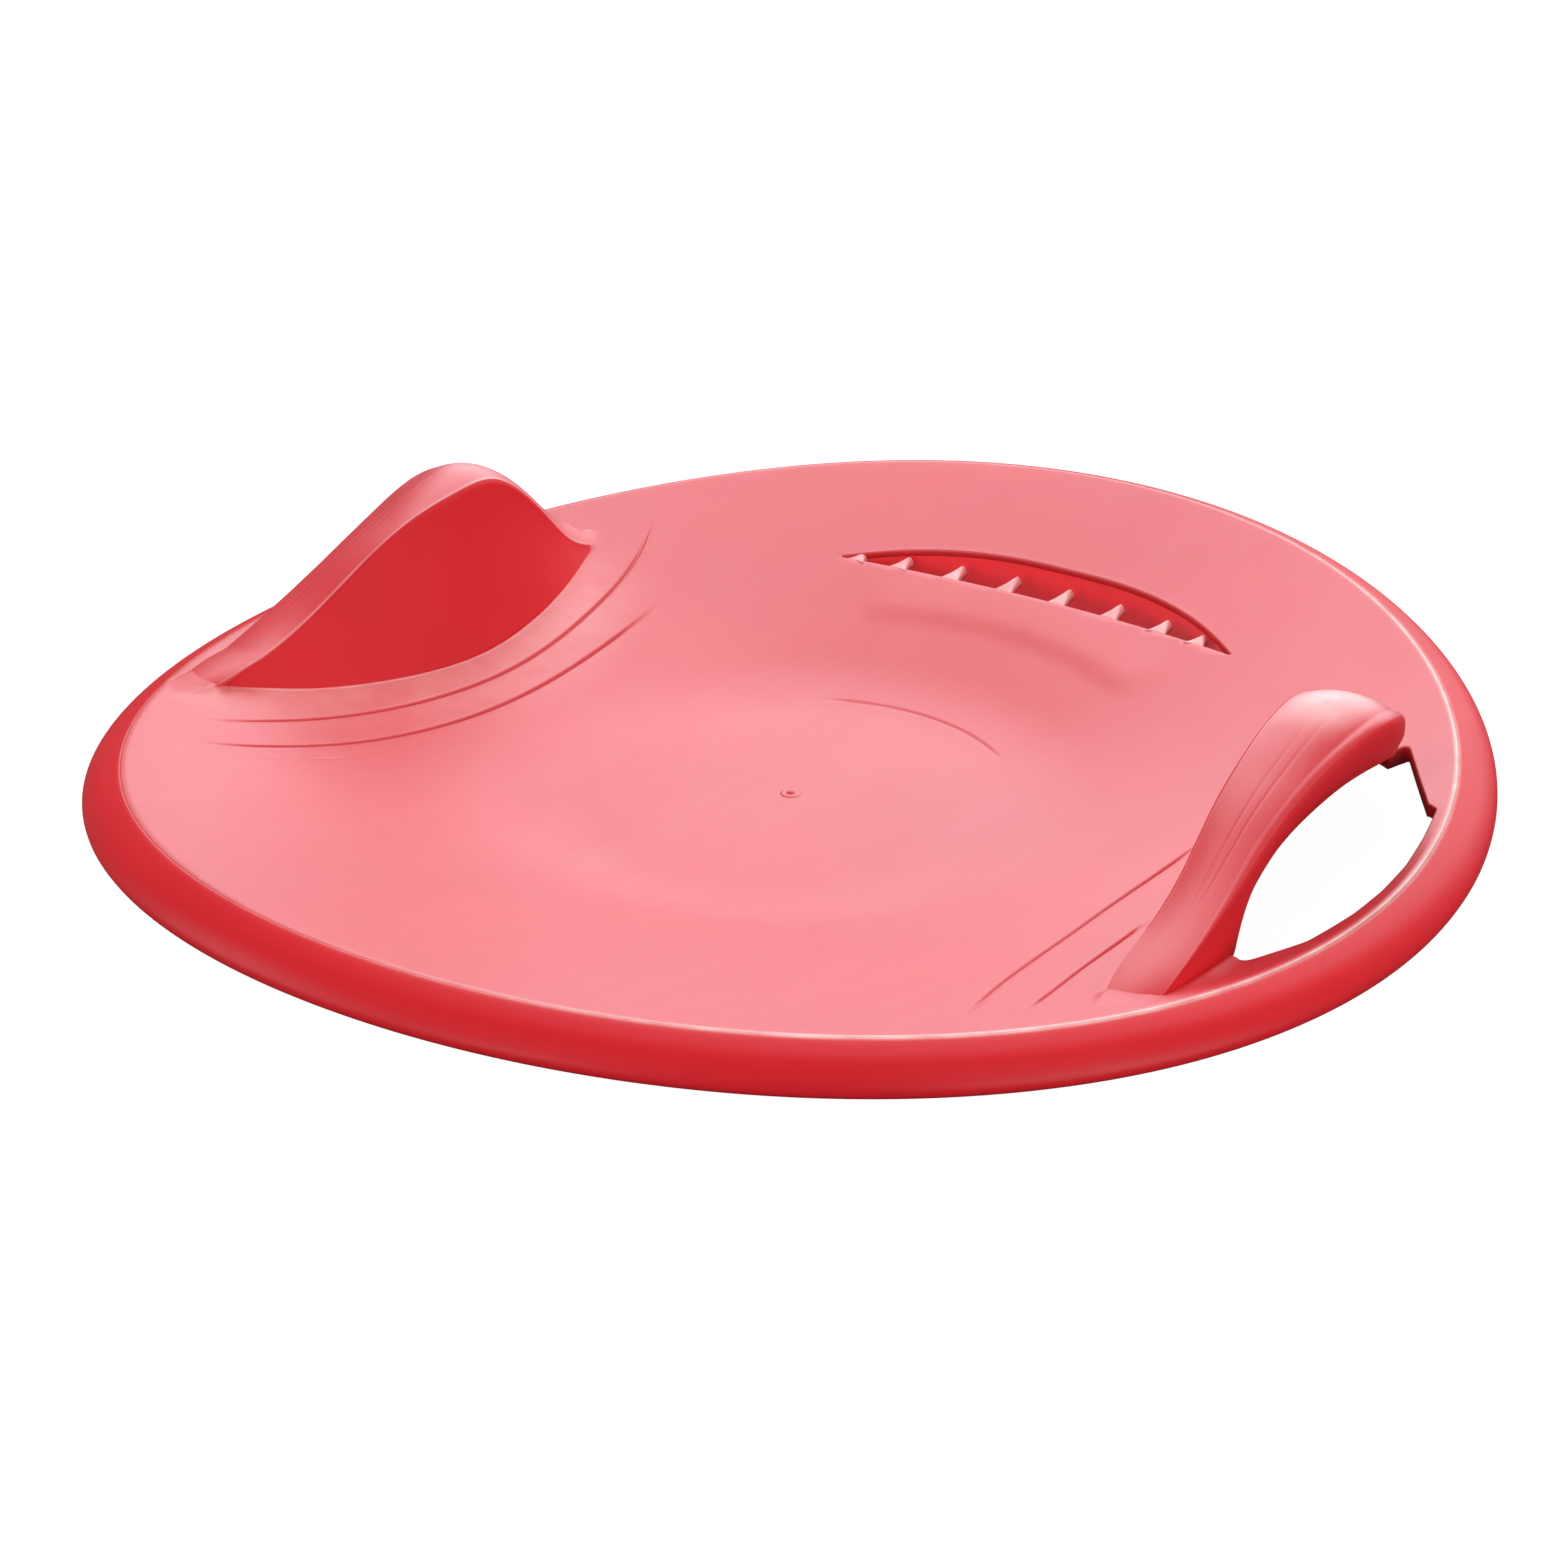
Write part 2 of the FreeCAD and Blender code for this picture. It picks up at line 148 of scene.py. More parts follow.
def insideLoop(points, loop):
    x, y = points[:, 0], points[:, 1]
    inside = np.zeros(len(points), bool)
    for (x1, y1), (x2, y2) in zip(loop, np.roll(loop, -1, axis=0)):
        if y1 != y2:
            crosses = (y1 > y) != (y2 > y)
            inside ^= crosses & (x < (x2 - x1) * (y - y1) / (y2 - y1) + x1)
    return inside


def holeNormals(loop, probe=0.3):
    # unit normals that point into the hole that a loop goes around
    along = unitRows(np.roll(loop, -1, axis=0) - np.roll(loop, 1, axis=0))
    normal = columns([along[:, 1], -along[:, 0]])
    return -normal if insideLoop(loop + normal * probe, loop).mean() < 0.5 else normal


def treeOf(points):
    tree = kdtree.KDTree(len(points))
    for i, p in enumerate(points):
        tree.insert((p[0], p[1], 0), i)
    tree.balance()
    return tree


def gapsTo(tree, points):
    return np.array([tree.find((p[0], p[1], 0))[2] for p in points])


def setPaintedHighlight(mesh, paintedHighlight):
    # painted highlight: how pale a spot is painted, read by the plastics
    layer = mesh.attributes.new("paintedHighlight", "FLOAT", "POINT")
    layer.data.foreach_set("value", np.asarray(paintedHighlight, np.float32))


def turnOutward(mesh, weld=1e-6):
    # every piece is a closed shell, so its signed volume tells which way its faces look
    work = bmesh.new()
    work.from_mesh(mesh)
    bmesh.ops.remove_doubles(work, verts=work.verts, dist=weld)
    bmesh.ops.recalc_face_normals(work, faces=work.faces)
    if work.calc_volume(signed=True) < 0:
        bmesh.ops.reverse_faces(work, faces=work.faces)
    print(mesh.name, "open edges", sum(not edge.is_manifold for edge in work.edges))
    work.to_mesh(mesh)
    work.free()


def addObject(name, data):
    made = bpy.data.objects.new(name, data)
    scene.collection.objects.link(made)
    return made


def placePiece(name, mesh):
    mesh.polygons.foreach_set("use_smooth", [True] * len(mesh.polygons))
    return addObject(name, mesh)


def meshPiece(name, verts, faces, mat, paintedHighlight=None, second=None, secondFaces=None):
    mesh = bpy.data.meshes.new(name)
    mesh.from_pydata((np.asarray(verts) * mm).tolist(), [], faces)
    if second:
        mesh.polygons.foreach_set("material_index", secondFaces)
    setPaintedHighlight(mesh, np.zeros(len(mesh.vertices)) if paintedHighlight is None else paintedHighlight)
    turnOutward(mesh)
    mesh.materials.append(mat)
    if second:
        mesh.materials.append(second)
    return placePiece(name, mesh)


def loftFaces(rows, width):
    # quads between rows of a closed section, with a cap on each end
    faces = []
    for start in range(0, (rows - 1) * width, width):
        for c in range(width):
            a, b = start + c, start + (c + 1) % width
            faces.append((a, b, b + width, a + width))
    faces.append(tuple(range(width)))
    faces.append(tuple((rows - 1) * width + c for c in reversed(range(width))))
    return faces


def finishPiece(piece, node):
    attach(piece, "root")
    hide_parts(node)
    print(piece.name, len(piece.data.polygons), "faces")


# node trees, for the plastics and for the pieces that are swept or repeated

def setInputs(tree, node, inputs):
    for name, value in inputs.items():
        if isinstance(value, bpy.types.NodeSocket):
            tree.links.new(value, node.inputs[name])
        else:
            node.inputs[name].default_value = value
    return node


def addNode(tree, kind, inputs):
    return setInputs(tree, tree.nodes.new(kind), inputs)


def mathNode(tree, operation, a, b):
    node = tree.nodes.new("ShaderNodeMath")
    node.operation = operation
    for socket, value in zip(node.inputs, (a, b)):
        if isinstance(value, (int, float)):
            socket.default_value = value
        else:
            tree.links.new(value, socket)
    return node.outputs["Value"]


def mixNode(tree, factor, a, b):
    node = tree.nodes.new("ShaderNodeMix")
    node.data_type = "RGBA"
    tree.links.new(factor, node.inputs["Factor"])
    for name, value in (("A", a), ("B", b)):
        if isinstance(value, tuple):
            node.inputs[name].default_value = (*value, 1)
        else:
            tree.links.new(value, node.inputs[name])
    return node.outputs["Result"]


# moulded polyethylene

plasticLook = {
    "deep": (0.660, 0.0115, 0.0190),
    "bright": (0.710, 0.0145, 0.0230),
    # pale tint for the painted highlights on edges, crests and the foot of a wall
    "paleHighlight": (0.940, 0.580, 0.520),
    # noises as scale, detail and distortion
    "cloud": (9.0, 3.0, 0.4),  # slow drift of the pigment
    "paintedHighlight": (70.0, 3.0, 0.0),  # the painted highlights are paler in patches
    "flow": (55.0, 2.0, 0.6),  # faint flow lines from the gate
    "grain": (900.0, 3.0, 0.0),  # fine satin grain of the mould
    "scratch": (240.0, 4.0, 0.0),
    "spread": (0.3, 0.7),  # the part of a noise that a range is taken from
    "patchy": (0.55, 1.0),
    "flowStretch": (1.0, 0.16, 1.0),  # long in the lengthwise direction
    "scratchStretch": (1.0, 0.03, 1.0),
    "scratchTurn": (0, 0, 0.5),
    "flowSwing": 0.03,  # share of the roughness
    "scratchSwing": 0.012,
    "grainHeight": 0.0003,
    "flowBump": 0.008,
    "flowHeight": 0.0008,
    "ior": 1.5,
}


def plastic(name, rough, grain, specular, coat=0.0, coatRough=0.2):
    mat = bpy.data.materials.new(name)
    mat.use_nodes = True
    tree = mat.node_tree
    tree.nodes.clear()
    coord = tree.nodes.new("ShaderNodeTexCoord").outputs["Object"]

    def noise(key, source=coord):
        scale, detail, distortion = plasticLook[key]
        node = addNode(tree, "ShaderNodeTexNoise", {
            "Scale": scale, "Detail": detail, "Distortion": distortion, "Vector": source})
        return node.outputs["Fac"]

    def ranged(source, low, high):
        least, most = plasticLook["spread"]
        node = addNode(tree, "ShaderNodeMapRange", {
            "From Min": least, "From Max": most, "To Min": low, "To Max": high, "Value": source})
        return node.outputs["Result"]

    def stretched(scale, turn=(0, 0, 0)):
        node = addNode(tree, "ShaderNodeMapping", {
            "Scale": scale, "Rotation": turn, "Vector": coord})
        return node.outputs["Vector"]

    pigment = ranged(noise("cloud"), 0, 1)
    tint = mixNode(tree, pigment, plasticLook["deep"], plasticLook["bright"])
    # painted highlight: the pale tint is mixed in where the attribute asks for it
    paleHighlight = tree.nodes.new("ShaderNodeAttribute")
    paleHighlight.attribute_name = "paintedHighlight"
    patchy = ranged(noise("paintedHighlight"), *plasticLook["patchy"])
    amount = mathNode(tree, "MULTIPLY", paleHighlight.outputs["Fac"], patchy)
    colour = mixNode(tree, amount, tint, plasticLook["paleHighlight"])

    flow = noise("flow", stretched(plasticLook["flowStretch"]))
    scratchPlace = stretched(plasticLook["scratchStretch"], plasticLook["scratchTurn"])
    scratch = noise("scratch", scratchPlace)
    swing, fine = plasticLook["flowSwing"], plasticLook["scratchSwing"]
    roughness = mathNode(tree, "ADD", ranged(flow, rough * (1 - swing), rough * (1 + swing)),
                         ranged(scratch, -fine, fine))

    grainBump = addNode(tree, "ShaderNodeBump", {
        "Strength": grain, "Distance": plasticLook["grainHeight"], "Height": noise("grain")})
    flowBump = addNode(tree, "ShaderNodeBump", {
        "Strength": plasticLook["flowBump"], "Distance": plasticLook["flowHeight"],
        "Height": flow, "Normal": grainBump.outputs["Normal"]})

    shader = addNode(tree, "ShaderNodeBsdfPrincipled", {
        "Base Color": colour, "Roughness": roughness, "Normal": flowBump.outputs["Normal"],
        "IOR": plasticLook["ior"], "Specular IOR Level": specular,
        "Coat Weight": coat, "Coat Roughness": coatRough})
    addNode(tree, "ShaderNodeOutputMaterial", {"Surface": shader.outputs["BSDF"]})
    return mat


deckPlastic = plastic("deckSatinPlastic", rough=0.50, grain=0.10, specular=0.5,
                      coat=0.7, coatRough=0.46)
rimPlastic = plastic("rimSatinPlastic", rough=0.40, grain=0.08, specular=0.22)
wallPlastic = plastic("gripWallPlastic", rough=0.55, grain=0.10, specular=0.28)
# polished by hands
bandPlastic = plastic("gripBandPlastic", rough=0.48, grain=0.08, specular=0.5,
                      coat=0.7, coatRough=0.36)
print("plastics made")


# dish, the form that every other piece follows

dish = {
    "ridgeRadius": 284.0, "riseEnd": 58.3, "riseSide": 33.9,
    "bendRadius": 110.0, "bendHalf": 24.0,
    "top": 3.5, "wall": 3.65,
}


def dishHeight(x, y, tiny=1e-9):
    r = np.hypot(x, y) + tiny
    start, stop = dish["bendRadius"] - dish["bendHalf"], dish["bendRadius"] + dish["bendHalf"]
    bent = np.clip(r - start, 0, None) ** 2 / (2 * (stop - start))
    run = np.where(r < stop, bent, r - dish["bendRadius"])
    rise = dish["riseSide"] + (dish["riseEnd"] - dish["riseSide"]) * (y / r) ** 2
    return dish["top"] + rise * run / (dish["ridgeRadius"] - dish["bendRadius"])


# hand grips, each a wall with a band on top; smooth steps are given by one end and the run

grip = {
    # from front to rear: place, inner edge out and up, outer edge out and up
    "stations": [
        (-132.0, 236.0, 33.6, 249.1, 29.0),
        (-113.9, 232.1, 40.8, 251.6, 38.0),
        (-87.9, 229.3, 47.1, 252.4, 47.5),
        (-59.9, 227.5, 57.3, 251.9, 58.0),
        (-30.1, 223.9, 73.0, 251.1, 70.0),
        (0.1, 221.1, 84.8, 252.4, 80.5),
        (29.9, 218.3, 90.5, 256.0, 87.8),
        (60.1, 217.5, 86.3, 256.5, 86.8),
        (77.9, 216.0, 70.5, 251.1, 80.0),
        (89.9, 215.5, 56.5, 245.0, 72.5),
        (102.0, 214.7, 43.0, 238.0, 58.5),
        (114.1, 213.4, 36.0, 231.6, 45.5),
        (128.0, 212.1, 29.5, 223.9, 34.5),
        (142.0, 211.1, 22.5, 218.0, 25.5),
    ],
    # where the seat side of the wall stands on the deck
    "base": [
        (-132.0, 236.0), (-114.8, 232.4), (-101.0, 225.3), (-85.7, 215.7), (-68.4, 207.9),
        (-49.7, 201.7), (-17.4, 193.8), (9.6, 190.7), (45.7, 193.5), (74.8, 199.4),
        (100.9, 207.3), (118.8, 212.4), (142.0, 211.2),
    ],
    "ends": (-132, 142),
    "endSlope": 0.5,  # how a grip falls away past its ends
    "runOut": (-95, 37),  # the left front end runs out longer
    "runOutRise": (2.2, 10.6),  # of the inner and the outer edge
    "upright": 0.62,  # the right wall stands steeper near its front
    "uprightStop": (18, 46),
    "baseInset": 0.2,
    "wall": 3.5,
    "wallTop": 0.6,  # how far the wall ends below the edge of the band
    "wallLeast": 0.3,
    "wallFrom": 2.2,  # a lower grip has no wall of its own
    "wallPoints": 24,
    "wallSink": (1.0, 2.4),  # how far it goes into the deck, on the seat side and behind
    "wallLean": 0.15,
    "hollow": 2.0,
    "hollowOver": 40,  # height of a wall with the full hollow
    "hollowLeast": 0.1,
    "crown": (1.5, 2.6),  # all along, and more where the hand is
    "crownSpan": ((-10, 40), (98, 26)),
    "fillet": (1.6, 5.5, 3.0),  # all along, more at the front end, more at the rear end
    "filletFront": (-110, 16),
    "filletRear": (114, 16),
    "footSlope": 2.5,  # slopes of the skin where it goes on below the deck
    "skinSlope": 1.2,
    "lipSlope": (5.0, 35),
    "lipSteep": (4, 8),
    "walled": (0.9, 3),
    "places": (-131.5, 141.5, 1.5),
    "settled": (-62, 119),  # past these the ends stay within the wall of the deck
    "settleDepth": 2.6,
}
stationTable = np.array(grip["stations"])
baseTable = np.array(grip["base"])


def gripAt(y, side=-1):
    # inner edge, outer edge and base of the wall at any place along a grip
    y = np.asarray(y, float)
    held = np.clip(y, *grip["ends"])
    ix, iz, ox, oz = (tableAt(stationTable, k, held) for k in range(1, 5))
    fall = grip["endSlope"] * np.abs(y - held)
    start, run = grip["runOut"]
    runOut = np.where(side < 0, np.clip((start - held) / run, 0, 1), 0)
    innerRise, outerRise = grip["runOutRise"]
    iz, oz = iz + innerRise * runOut ** 2, oz + outerRise * runOut
    base = tableAt(baseTable, 1, held)
    steeper = np.where(side > 0, grip["upright"], 0)
    base = base + steeper * (ix - base) * falling(held, *grip["uprightStop"])
    base = np.minimum(base, ix - grip["baseInset"])
    return ix, iz - fall, ox, oz - fall, base


def crownAt(y):
    least, more = grip["crown"]
    return least + more * between(y, *grip["crownSpan"])


def filletAt(y):
    along, front, rear = grip["fillet"]
    return along + front * falling(y, *grip["filletFront"]) + rear * rising(y, *grip["filletRear"])


def wallShape(y, side):
    # base, top and hollow of the wall that faces the seat
    ix, iz, ox, oz, base = gripAt(y, side)
    low = dishHeight(base, y)
    high = np.maximum(iz - grip["wallTop"], low + grip["wallLeast"])
    share = np.clip((high - low) / grip["hollowOver"], grip["hollowLeast"], 1)
    return base, low, ix, high, grip["hollow"] * share


def hoodHeight(x, y):
    # upper skin of a grip over the plan, for the blends where it rises from the deck
    side, x = np.sign(x), np.abs(x)
    ix, iz, ox, oz, base = gripAt(y, side)
    t = np.clip((x - ix) / (ox - ix), 0, 1)
    top = iz + (oz - iz) * t + crownAt(y) * bulge(t)
    base, low, topX, high, hollow = wallShape(y, side)
    across = topX - base + 4 * hollow
    root = np.sqrt(np.maximum(across ** 2 - 16 * hollow * (x - base), 0))
    share = np.clip((across - root) / (8 * hollow), 0, 1)
    wall = np.where(x < base, low - (base - x) * grip["footSlope"], low + (high - low) * share)
    walled = rising(iz - low, *grip["walled"])  # past its ends a grip has no wall
    inside = wall * walled + (iz - (ix - x) * grip["skinSlope"]) * (1 - walled)
    gentle, more = grip["lipSlope"]
    steep = gentle + more * rising(oz - dishHeight(ox, y), *grip["lipSteep"])
    return np.where(x < ix, inside, np.where(x > ox, oz - (x - ox) * steep, top))


# seat deck

deck = {
    "edgeRound": 1.0,
    "edgeAngles": (22, 45, 68, 90),
    "underAngles": (90, 45),
    "ridgeInset": 3.0,
    "ridgeSteps": (0.2, 0.4, 0.6, 0.8, 1.0),
    "crestFall": 0.15,
    "thinnest": 1.6,
    "dive": 0.4,  # how far the deck stays below the skin of a grip
    "gripZone": (180, -165, 160),  # nearest out, front and rear of the blends into the grips
    "lipGap": (-4, 2),  # the lip stands free of the deck
    "lipSpan": ((-114, 6), (122, 6)),
    # the rim turns down into each hand opening
    "turnDown": 2.0,
    "turnFrom": 238,
    "turnSpan": ((-108, 34), (88, 14)),
    "turnGap": (1, 5),
    "turnInset": (1, 10),
    # outline of a hand opening, with the radii of its corners
    "opening": [(260.5, 86.0), (265.5, 83.2), (270.8, 60.0), (274.9, 37.0), (276.2, 13.0),
                (275.2, -8.0), (270.5, -36.0), (258.5, -61.5), (248.9, -61.5), (248.9, -88.0)],
    "shelfEnd": {1: (230.0, 130.5), -1: (234.0, 124.5)},
    "wallPlaces": [-87.9, -59.9, -30.1, 0.1, 29.9, 60.1, 77.9, 89.9, 102.0],
    "radii": [3.0, 2.0, 2.0, 20, 20, 20, 20, 20, 6.0, 3.0, 3.0],
    "wallRadius": 10.0,
    "openingStep": 2.2,
    "skirt": (3.0, 5.0),  # wall under the rear edges of a hand opening
    "skirtFacing": (0.6, 0.8),
    "skirtInner": (0.3, 0.4),
    "skirtFrom": ((80, 6), (119, 5)),
    "slotHalf": 110.5, "slotShift": 6.5, "slotTip": 180.0, "slotFront": 192.5,
    "slotRear": 215.5, "slotBlunt": 2.5, "slotPoints": (80, 90),
    # courses as out and along, then side, depth and half width
    "grooves": [
        ([(212.1, -147.2), (194, -108.7), (178.9, -49.3), (173.6, 12.1), (179.6, 76.2),
          (189.5, 120), (203, 150.8)], -1, 1.8, 1.3),
        ([(194.8, -166.2), (185.2, -151.3), (167.7, -110.2), (159.4, -69), (155, -20.6),
          (155.2, 36.7), (157.8, 98)], -1, 1.8, 1.3),
        ([(172.8, -157.2), (163.1, -136.7), (155.2, -116.6)], -1, 0.35, 1.2),
        ([(218.1, -147), (213, -118), (208.7, -90), (206.3, -62), (204.8, -40)], 1, 1.6, 1.3),
        ([(204.2, -166), (193.5, -128), (186.9, -90), (183.4, -55), (182, -25), (183, 4),
          (185.5, 42)], 1, 1.7, 1.35),
    ],
    "grooveStep": 0.8,
    "grooveFade": 0.12,  # share of the length over which each end runs out
    "grooveMargin": 3,
    "rearArc": (98.5, -29.5, 36.5, 0.6, 1.7),  # radius, angles, depth, half width
    "rearPoints": 150,
    # the deck climbs softly behind the seat
    "step": {"radius": 157.5, "width": 14.0, "rise": 1.1, "length": 45, "settle": 34,
             "bearing": 3, "halfAngle": 30.0, "fade": 7},
    # points of the plan, closer together along the lines where the form bends
    "spacing": 3.4, "reach": 285, "ringPoints": 720,
    "grooveLanes": (-1.35, -0.9, -0.45, 0, 0.45, 0.9, 1.35),
    "lanePlaces": (-131, 141, 1.4),
    "baseLanes": (-4.0, -3.0, -2.2, -1.5, -0.9, -0.4, 0.1, 0.6, 1.2, 2.0),
    "lipLanes": (-1.0, 0.2, 1.0, 1.8, 3.0),
    "endSpacing": 1.5,
    "endOut": (200, 262),
    "endAlong": ((-160, -88), (98, 150)),
    "laneGap": 3.2, "grooveGap": 3.0, "edgeGap": 0.8, "gridGap": 1.9,
    "crowd": 0.35, "merge": 1e-5,
    # how strong the painted highlights on the edges are
    "crestHighlight": (0.10, 0.90),  # the painted highlight on the ridge is strongest on the right
    "crestSpan": (-40, 280),
    "ridgeHighlight": (0.0, 0.1, 0.5, 1.0, 1.0, 0.0),
    "footHighlight": 0.28,  # painted pale strip at the foot of the left wall, over the shade and reflection the wall casts
    "footReach": 60,
    "footBehind": -2,
    "footSpan": ((-150, 40), (130, 60)),
    "holeEdgeHighlight": (0.08, 3),  # amount, rows
    "slotEdgeHighlight": (0.3, 4),
    "slotHighlightFront": (193.2, 30),
}


def openingLoop(side):
    y = np.array(deck["wallPlaces"])
    behind = columns([gripAt(y, side)[4] + grip["wall"], y])
    corners = [deck["shelfEnd"][side]] + deck["opening"] + [tuple(p) for p in behind]
    radii = deck["radii"] + [deck["wallRadius"]] * len(behind)
    return roundedLoop(corners, radii, deck["openingStep"])


def slotFrontAt(off):
    # front edge of the slot, an arc, by the distance from its middle
    sag = deck["slotFront"] - deck["slotTip"]
    radius = (deck["slotHalf"] ** 2 + sag ** 2) / (2 * sag)
    return deck["slotFront"] - radius + np.sqrt(radius ** 2 - off ** 2)


def slotBack(half, out, count):
    # rear edge of the slot, blunter than an arc
    x = half * np.sin(np.linspace(-math.pi / 2, math.pi / 2, count))
    rise = deck["slotRear"] + out - deck["slotTip"]
    share = 1 - np.abs(x / half) ** deck["slotBlunt"]
    return columns([x + deck["slotShift"], deck["slotTip"] + rise * share])


def slotLoop():
    half, (frontCount, backCount) = deck["slotHalf"], deck["slotPoints"]
    x = np.linspace(-half, half, frontCount)
    front = columns([x + deck["slotShift"], slotFrontAt(x)])
    return np.concatenate([front, slotBack(half, 0, backCount)[::-1][1:-1]])


def grooveLines():
    lines = []
    for course, way, depth, half in deck["grooves"]:
        lines.append((curveThrough(np.array(course) * (way, 1), deck["grooveStep"]), depth, half))
    radius, first, last, depth, half = deck["rearArc"]
    turn = np.radians(np.linspace(first, last, deck["rearPoints"]))
    lines.append((columns([np.sin(turn), np.cos(turn)]) * radius, depth, half))
    return [(line, depth, half, treeOf(line)) for line, depth, half in lines]


holeLoops = [openingLoop(1), openingLoop(-1) * (-1, 1), slotLoop()]
grooves = grooveLines()


def deckTop(points):
    x, y = points[:, 0], points[:, 1]
    z = dishHeight(x, y)
    out, r = np.abs(x), np.hypot(x, y)
    lipGap = out - gripAt(y)[2]
    window = between(y, *deck["turnSpan"]) * (out > deck["turnFrom"])
    outside = rising(lipGap, *deck["turnGap"])
    inset = rising(dish["ridgeRadius"] - r, *deck["turnInset"])
    z = z - window * outside * deck["turnDown"] * inset
    step = deck["step"]
    bearing = np.degrees(np.arctan2(x, y))
    span = falling(np.abs(bearing - step["bearing"]), step["halfAngle"], step["fade"])
    climb = rising(r, step["radius"], step["width"])
    settled = falling(r, step["radius"] + step["length"], step["settle"])
    z = z + step["rise"] * climb * settled * span
    for line, depth, half, tree in grooves:
        last = len(line) - 1
        fadeRun = deck["grooveFade"] * last
        reach = np.ptp(line, axis=0) + deck["grooveMargin"]
        near = np.all(np.abs(points - line.mean(axis=0)) < reach, axis=1)
        for i in np.nonzero(near)[0]:
            spot, k, gap = tree.find((x[i], y[i], 0))
            if gap < half:
                z[i] -= depth * min(1.0, k / fadeRun, (last - k) / fadeRun) * ripple(gap, half)
    # fillets around the foot of each grip
    nearest, front, rear = deck["gripZone"]
    near = (out > nearest) & (y > front) & (y < rear)
    k = filletAt(y[near])
    over = hoodHeight(x[near], y[near]) - deck["dive"] - z[near]
    lift = (np.clip(over, -k, k) + k) ** 2 / (4 * k)
    lip = rising(lipGap[near], *deck["lipGap"]) * between(y[near], *deck["lipSpan"])
    z[near] += lift * (1 - lip)
    return z


def deckUnder(points, top):
    plain = dishHeight(points[:, 0], points[:, 1]) - dish["wall"]
    return np.maximum(np.minimum(plain, top - deck["thinnest"]), 0.0)


def deckLanes():
    # rows of points along the grooves and the grips
    lanes = []
    for line, depth, half, tree in grooves:
        side = sideways(line)
        for share in deck["grooveLanes"]:
            lanes.append(line[::2] + side[::2] * half * share)
    y = np.arange(*deck["lanePlaces"])
    fine = deck["endSpacing"]
    for way in (1, -1):
        ix, iz, ox, oz, base = gripAt(y, way)
        for edge, offsets in ((base, deck["baseLanes"]), (ox, deck["lipLanes"])):
            lanes += [columns([way * (edge + off), y]) for off in offsets]
        for low, high in deck["endAlong"]:  # a fine grid at the ends of the bands
            gx, gy = np.meshgrid(np.arange(*deck["endOut"], fine), np.arange(low, high, fine))
            gx, gy = gx.ravel(), gy.ravel()
            spots = columns([way * gx, gy])
            away = np.abs(gx - gripAt(gy, way)[4]) > deck["laneGap"]
            away |= (gy < y[0]) | (gy > y[-1])
            for line, depth, half, tree in grooves:
                away &= gapsTo(tree, spots) > deck["grooveGap"]
            lanes.append(spots[away])
    return np.concatenate(lanes)


def deckPlan():
    turn = np.linspace(0, 2 * math.pi, deck["ringPoints"], endpoint=False)
    ringRadius = dish["ridgeRadius"] - deck["ridgeInset"]
    loops = [columns([np.cos(turn), np.sin(turn)]) * ringRadius]
    loops += [loop - holeNormals(loop) * deck["edgeRound"] for loop in holeLoops]
    edges = np.concatenate(loops)

    def onDeck(points):
        ring, *holes = (insideLoop(points, loop) for loop in loops)
        return ring & ~np.any(holes, axis=0)

    lanes = deckLanes()
    lanes = lanes[onDeck(lanes)]
    lanes = lanes[gapsTo(treeOf(edges), lanes) > deck["edgeGap"]]
    cells = {}  # thins out points that crowd each other
    for p in lanes:
        cells.setdefault((round(p[0] / deck["crowd"]), round(p[1] / deck["crowd"])), p)
    lanes = np.array(list(cells.values()))
    step, reach = deck["spacing"], deck["reach"]
    gx, gy = np.meshgrid(np.arange(-reach, reach, step),
                         np.arange(-reach, reach, step * math.sqrt(3) / 2))
    gx = gx + (np.arange(gx.shape[0]) % 2)[:, None] * step / 2
    grid = columns([gx.ravel(), gy.ravel()])
    grid = grid[onDeck(grid)]
    grid = grid[gapsTo(treeOf(np.concatenate([edges, lanes])), grid) > deck["gridGap"]]
    points = [Vector(p) for p in np.concatenate([edges, lanes, grid]).tolist()]
    numbers, at = [], 0
    for loop in loops:
        numbers.append(range(at, at + len(loop)))
        at += len(loop)
    borders = [(i, j) for ring in numbers for i, j in zip(ring, [*ring[1:], ring[0]])]
    verts, lines, faces, source = delaunay_2d_cdt(points, borders, [], 0, deck["merge"])[:4]
    verts, faces = np.array([tuple(v) for v in verts]), np.array(faces)
    where = {old: i for i, olds in enumerate(source) for old in olds}
    keep = onDeck(verts[faces].mean(axis=1))
    return verts, faces[keep], [np.array([where[i] for i in ring]) for ring in numbers]


# painted highlight along the ridge, stronger towards the right
def crestHighlight(x):
    least, more = deck["crestHighlight"]
    return least + more * rising(x, *deck["crestSpan"])


# painted highlight along the foot of the left wall, which also paints out the wall's shade and
# reflection on the deck
def footHighlight(plan):
    y = plan[:, 1]
    foot = gripAt(y, -1)[4] + plan[:, 0]
    highlights = deck["footHighlight"] * falling(foot, deck["footReach"], deck["footReach"])
    highlights = highlights * (foot > deck["footBehind"]) * between(y, *deck["footSpan"])
    for line, depth, half, tree in grooves:
        spots = np.nonzero(highlights > 0)[0]
        highlights[spots[gapsTo(tree, plan[spots]) < half]] = 0  # grooves keep their colour
    return highlights


def ridgeRows(flat, z, low):
    # carries the deck on to the ridge and down inside it
    normal, inset = unitRows(flat), deck["ridgeInset"]
    rise = (dishHeight(*(flat + normal).T) - dishHeight(*(flat - normal).T)) / 2
    rows = []
    for t in deck["ridgeSteps"]:
        out = inset * t
        fall = (rise + deck["crestFall"]) * out * t / 2
        rows.append(columns([flat + normal * out, z + rise * out - fall]))
    rows.append(columns([flat + normal * inset, low + rise * inset]))
    # the rows over the ridge carry the painted highlight
    return rows, [amount * crestHighlight(row[:, 0]) for amount, row in zip(deck["ridgeHighlight"], rows)]


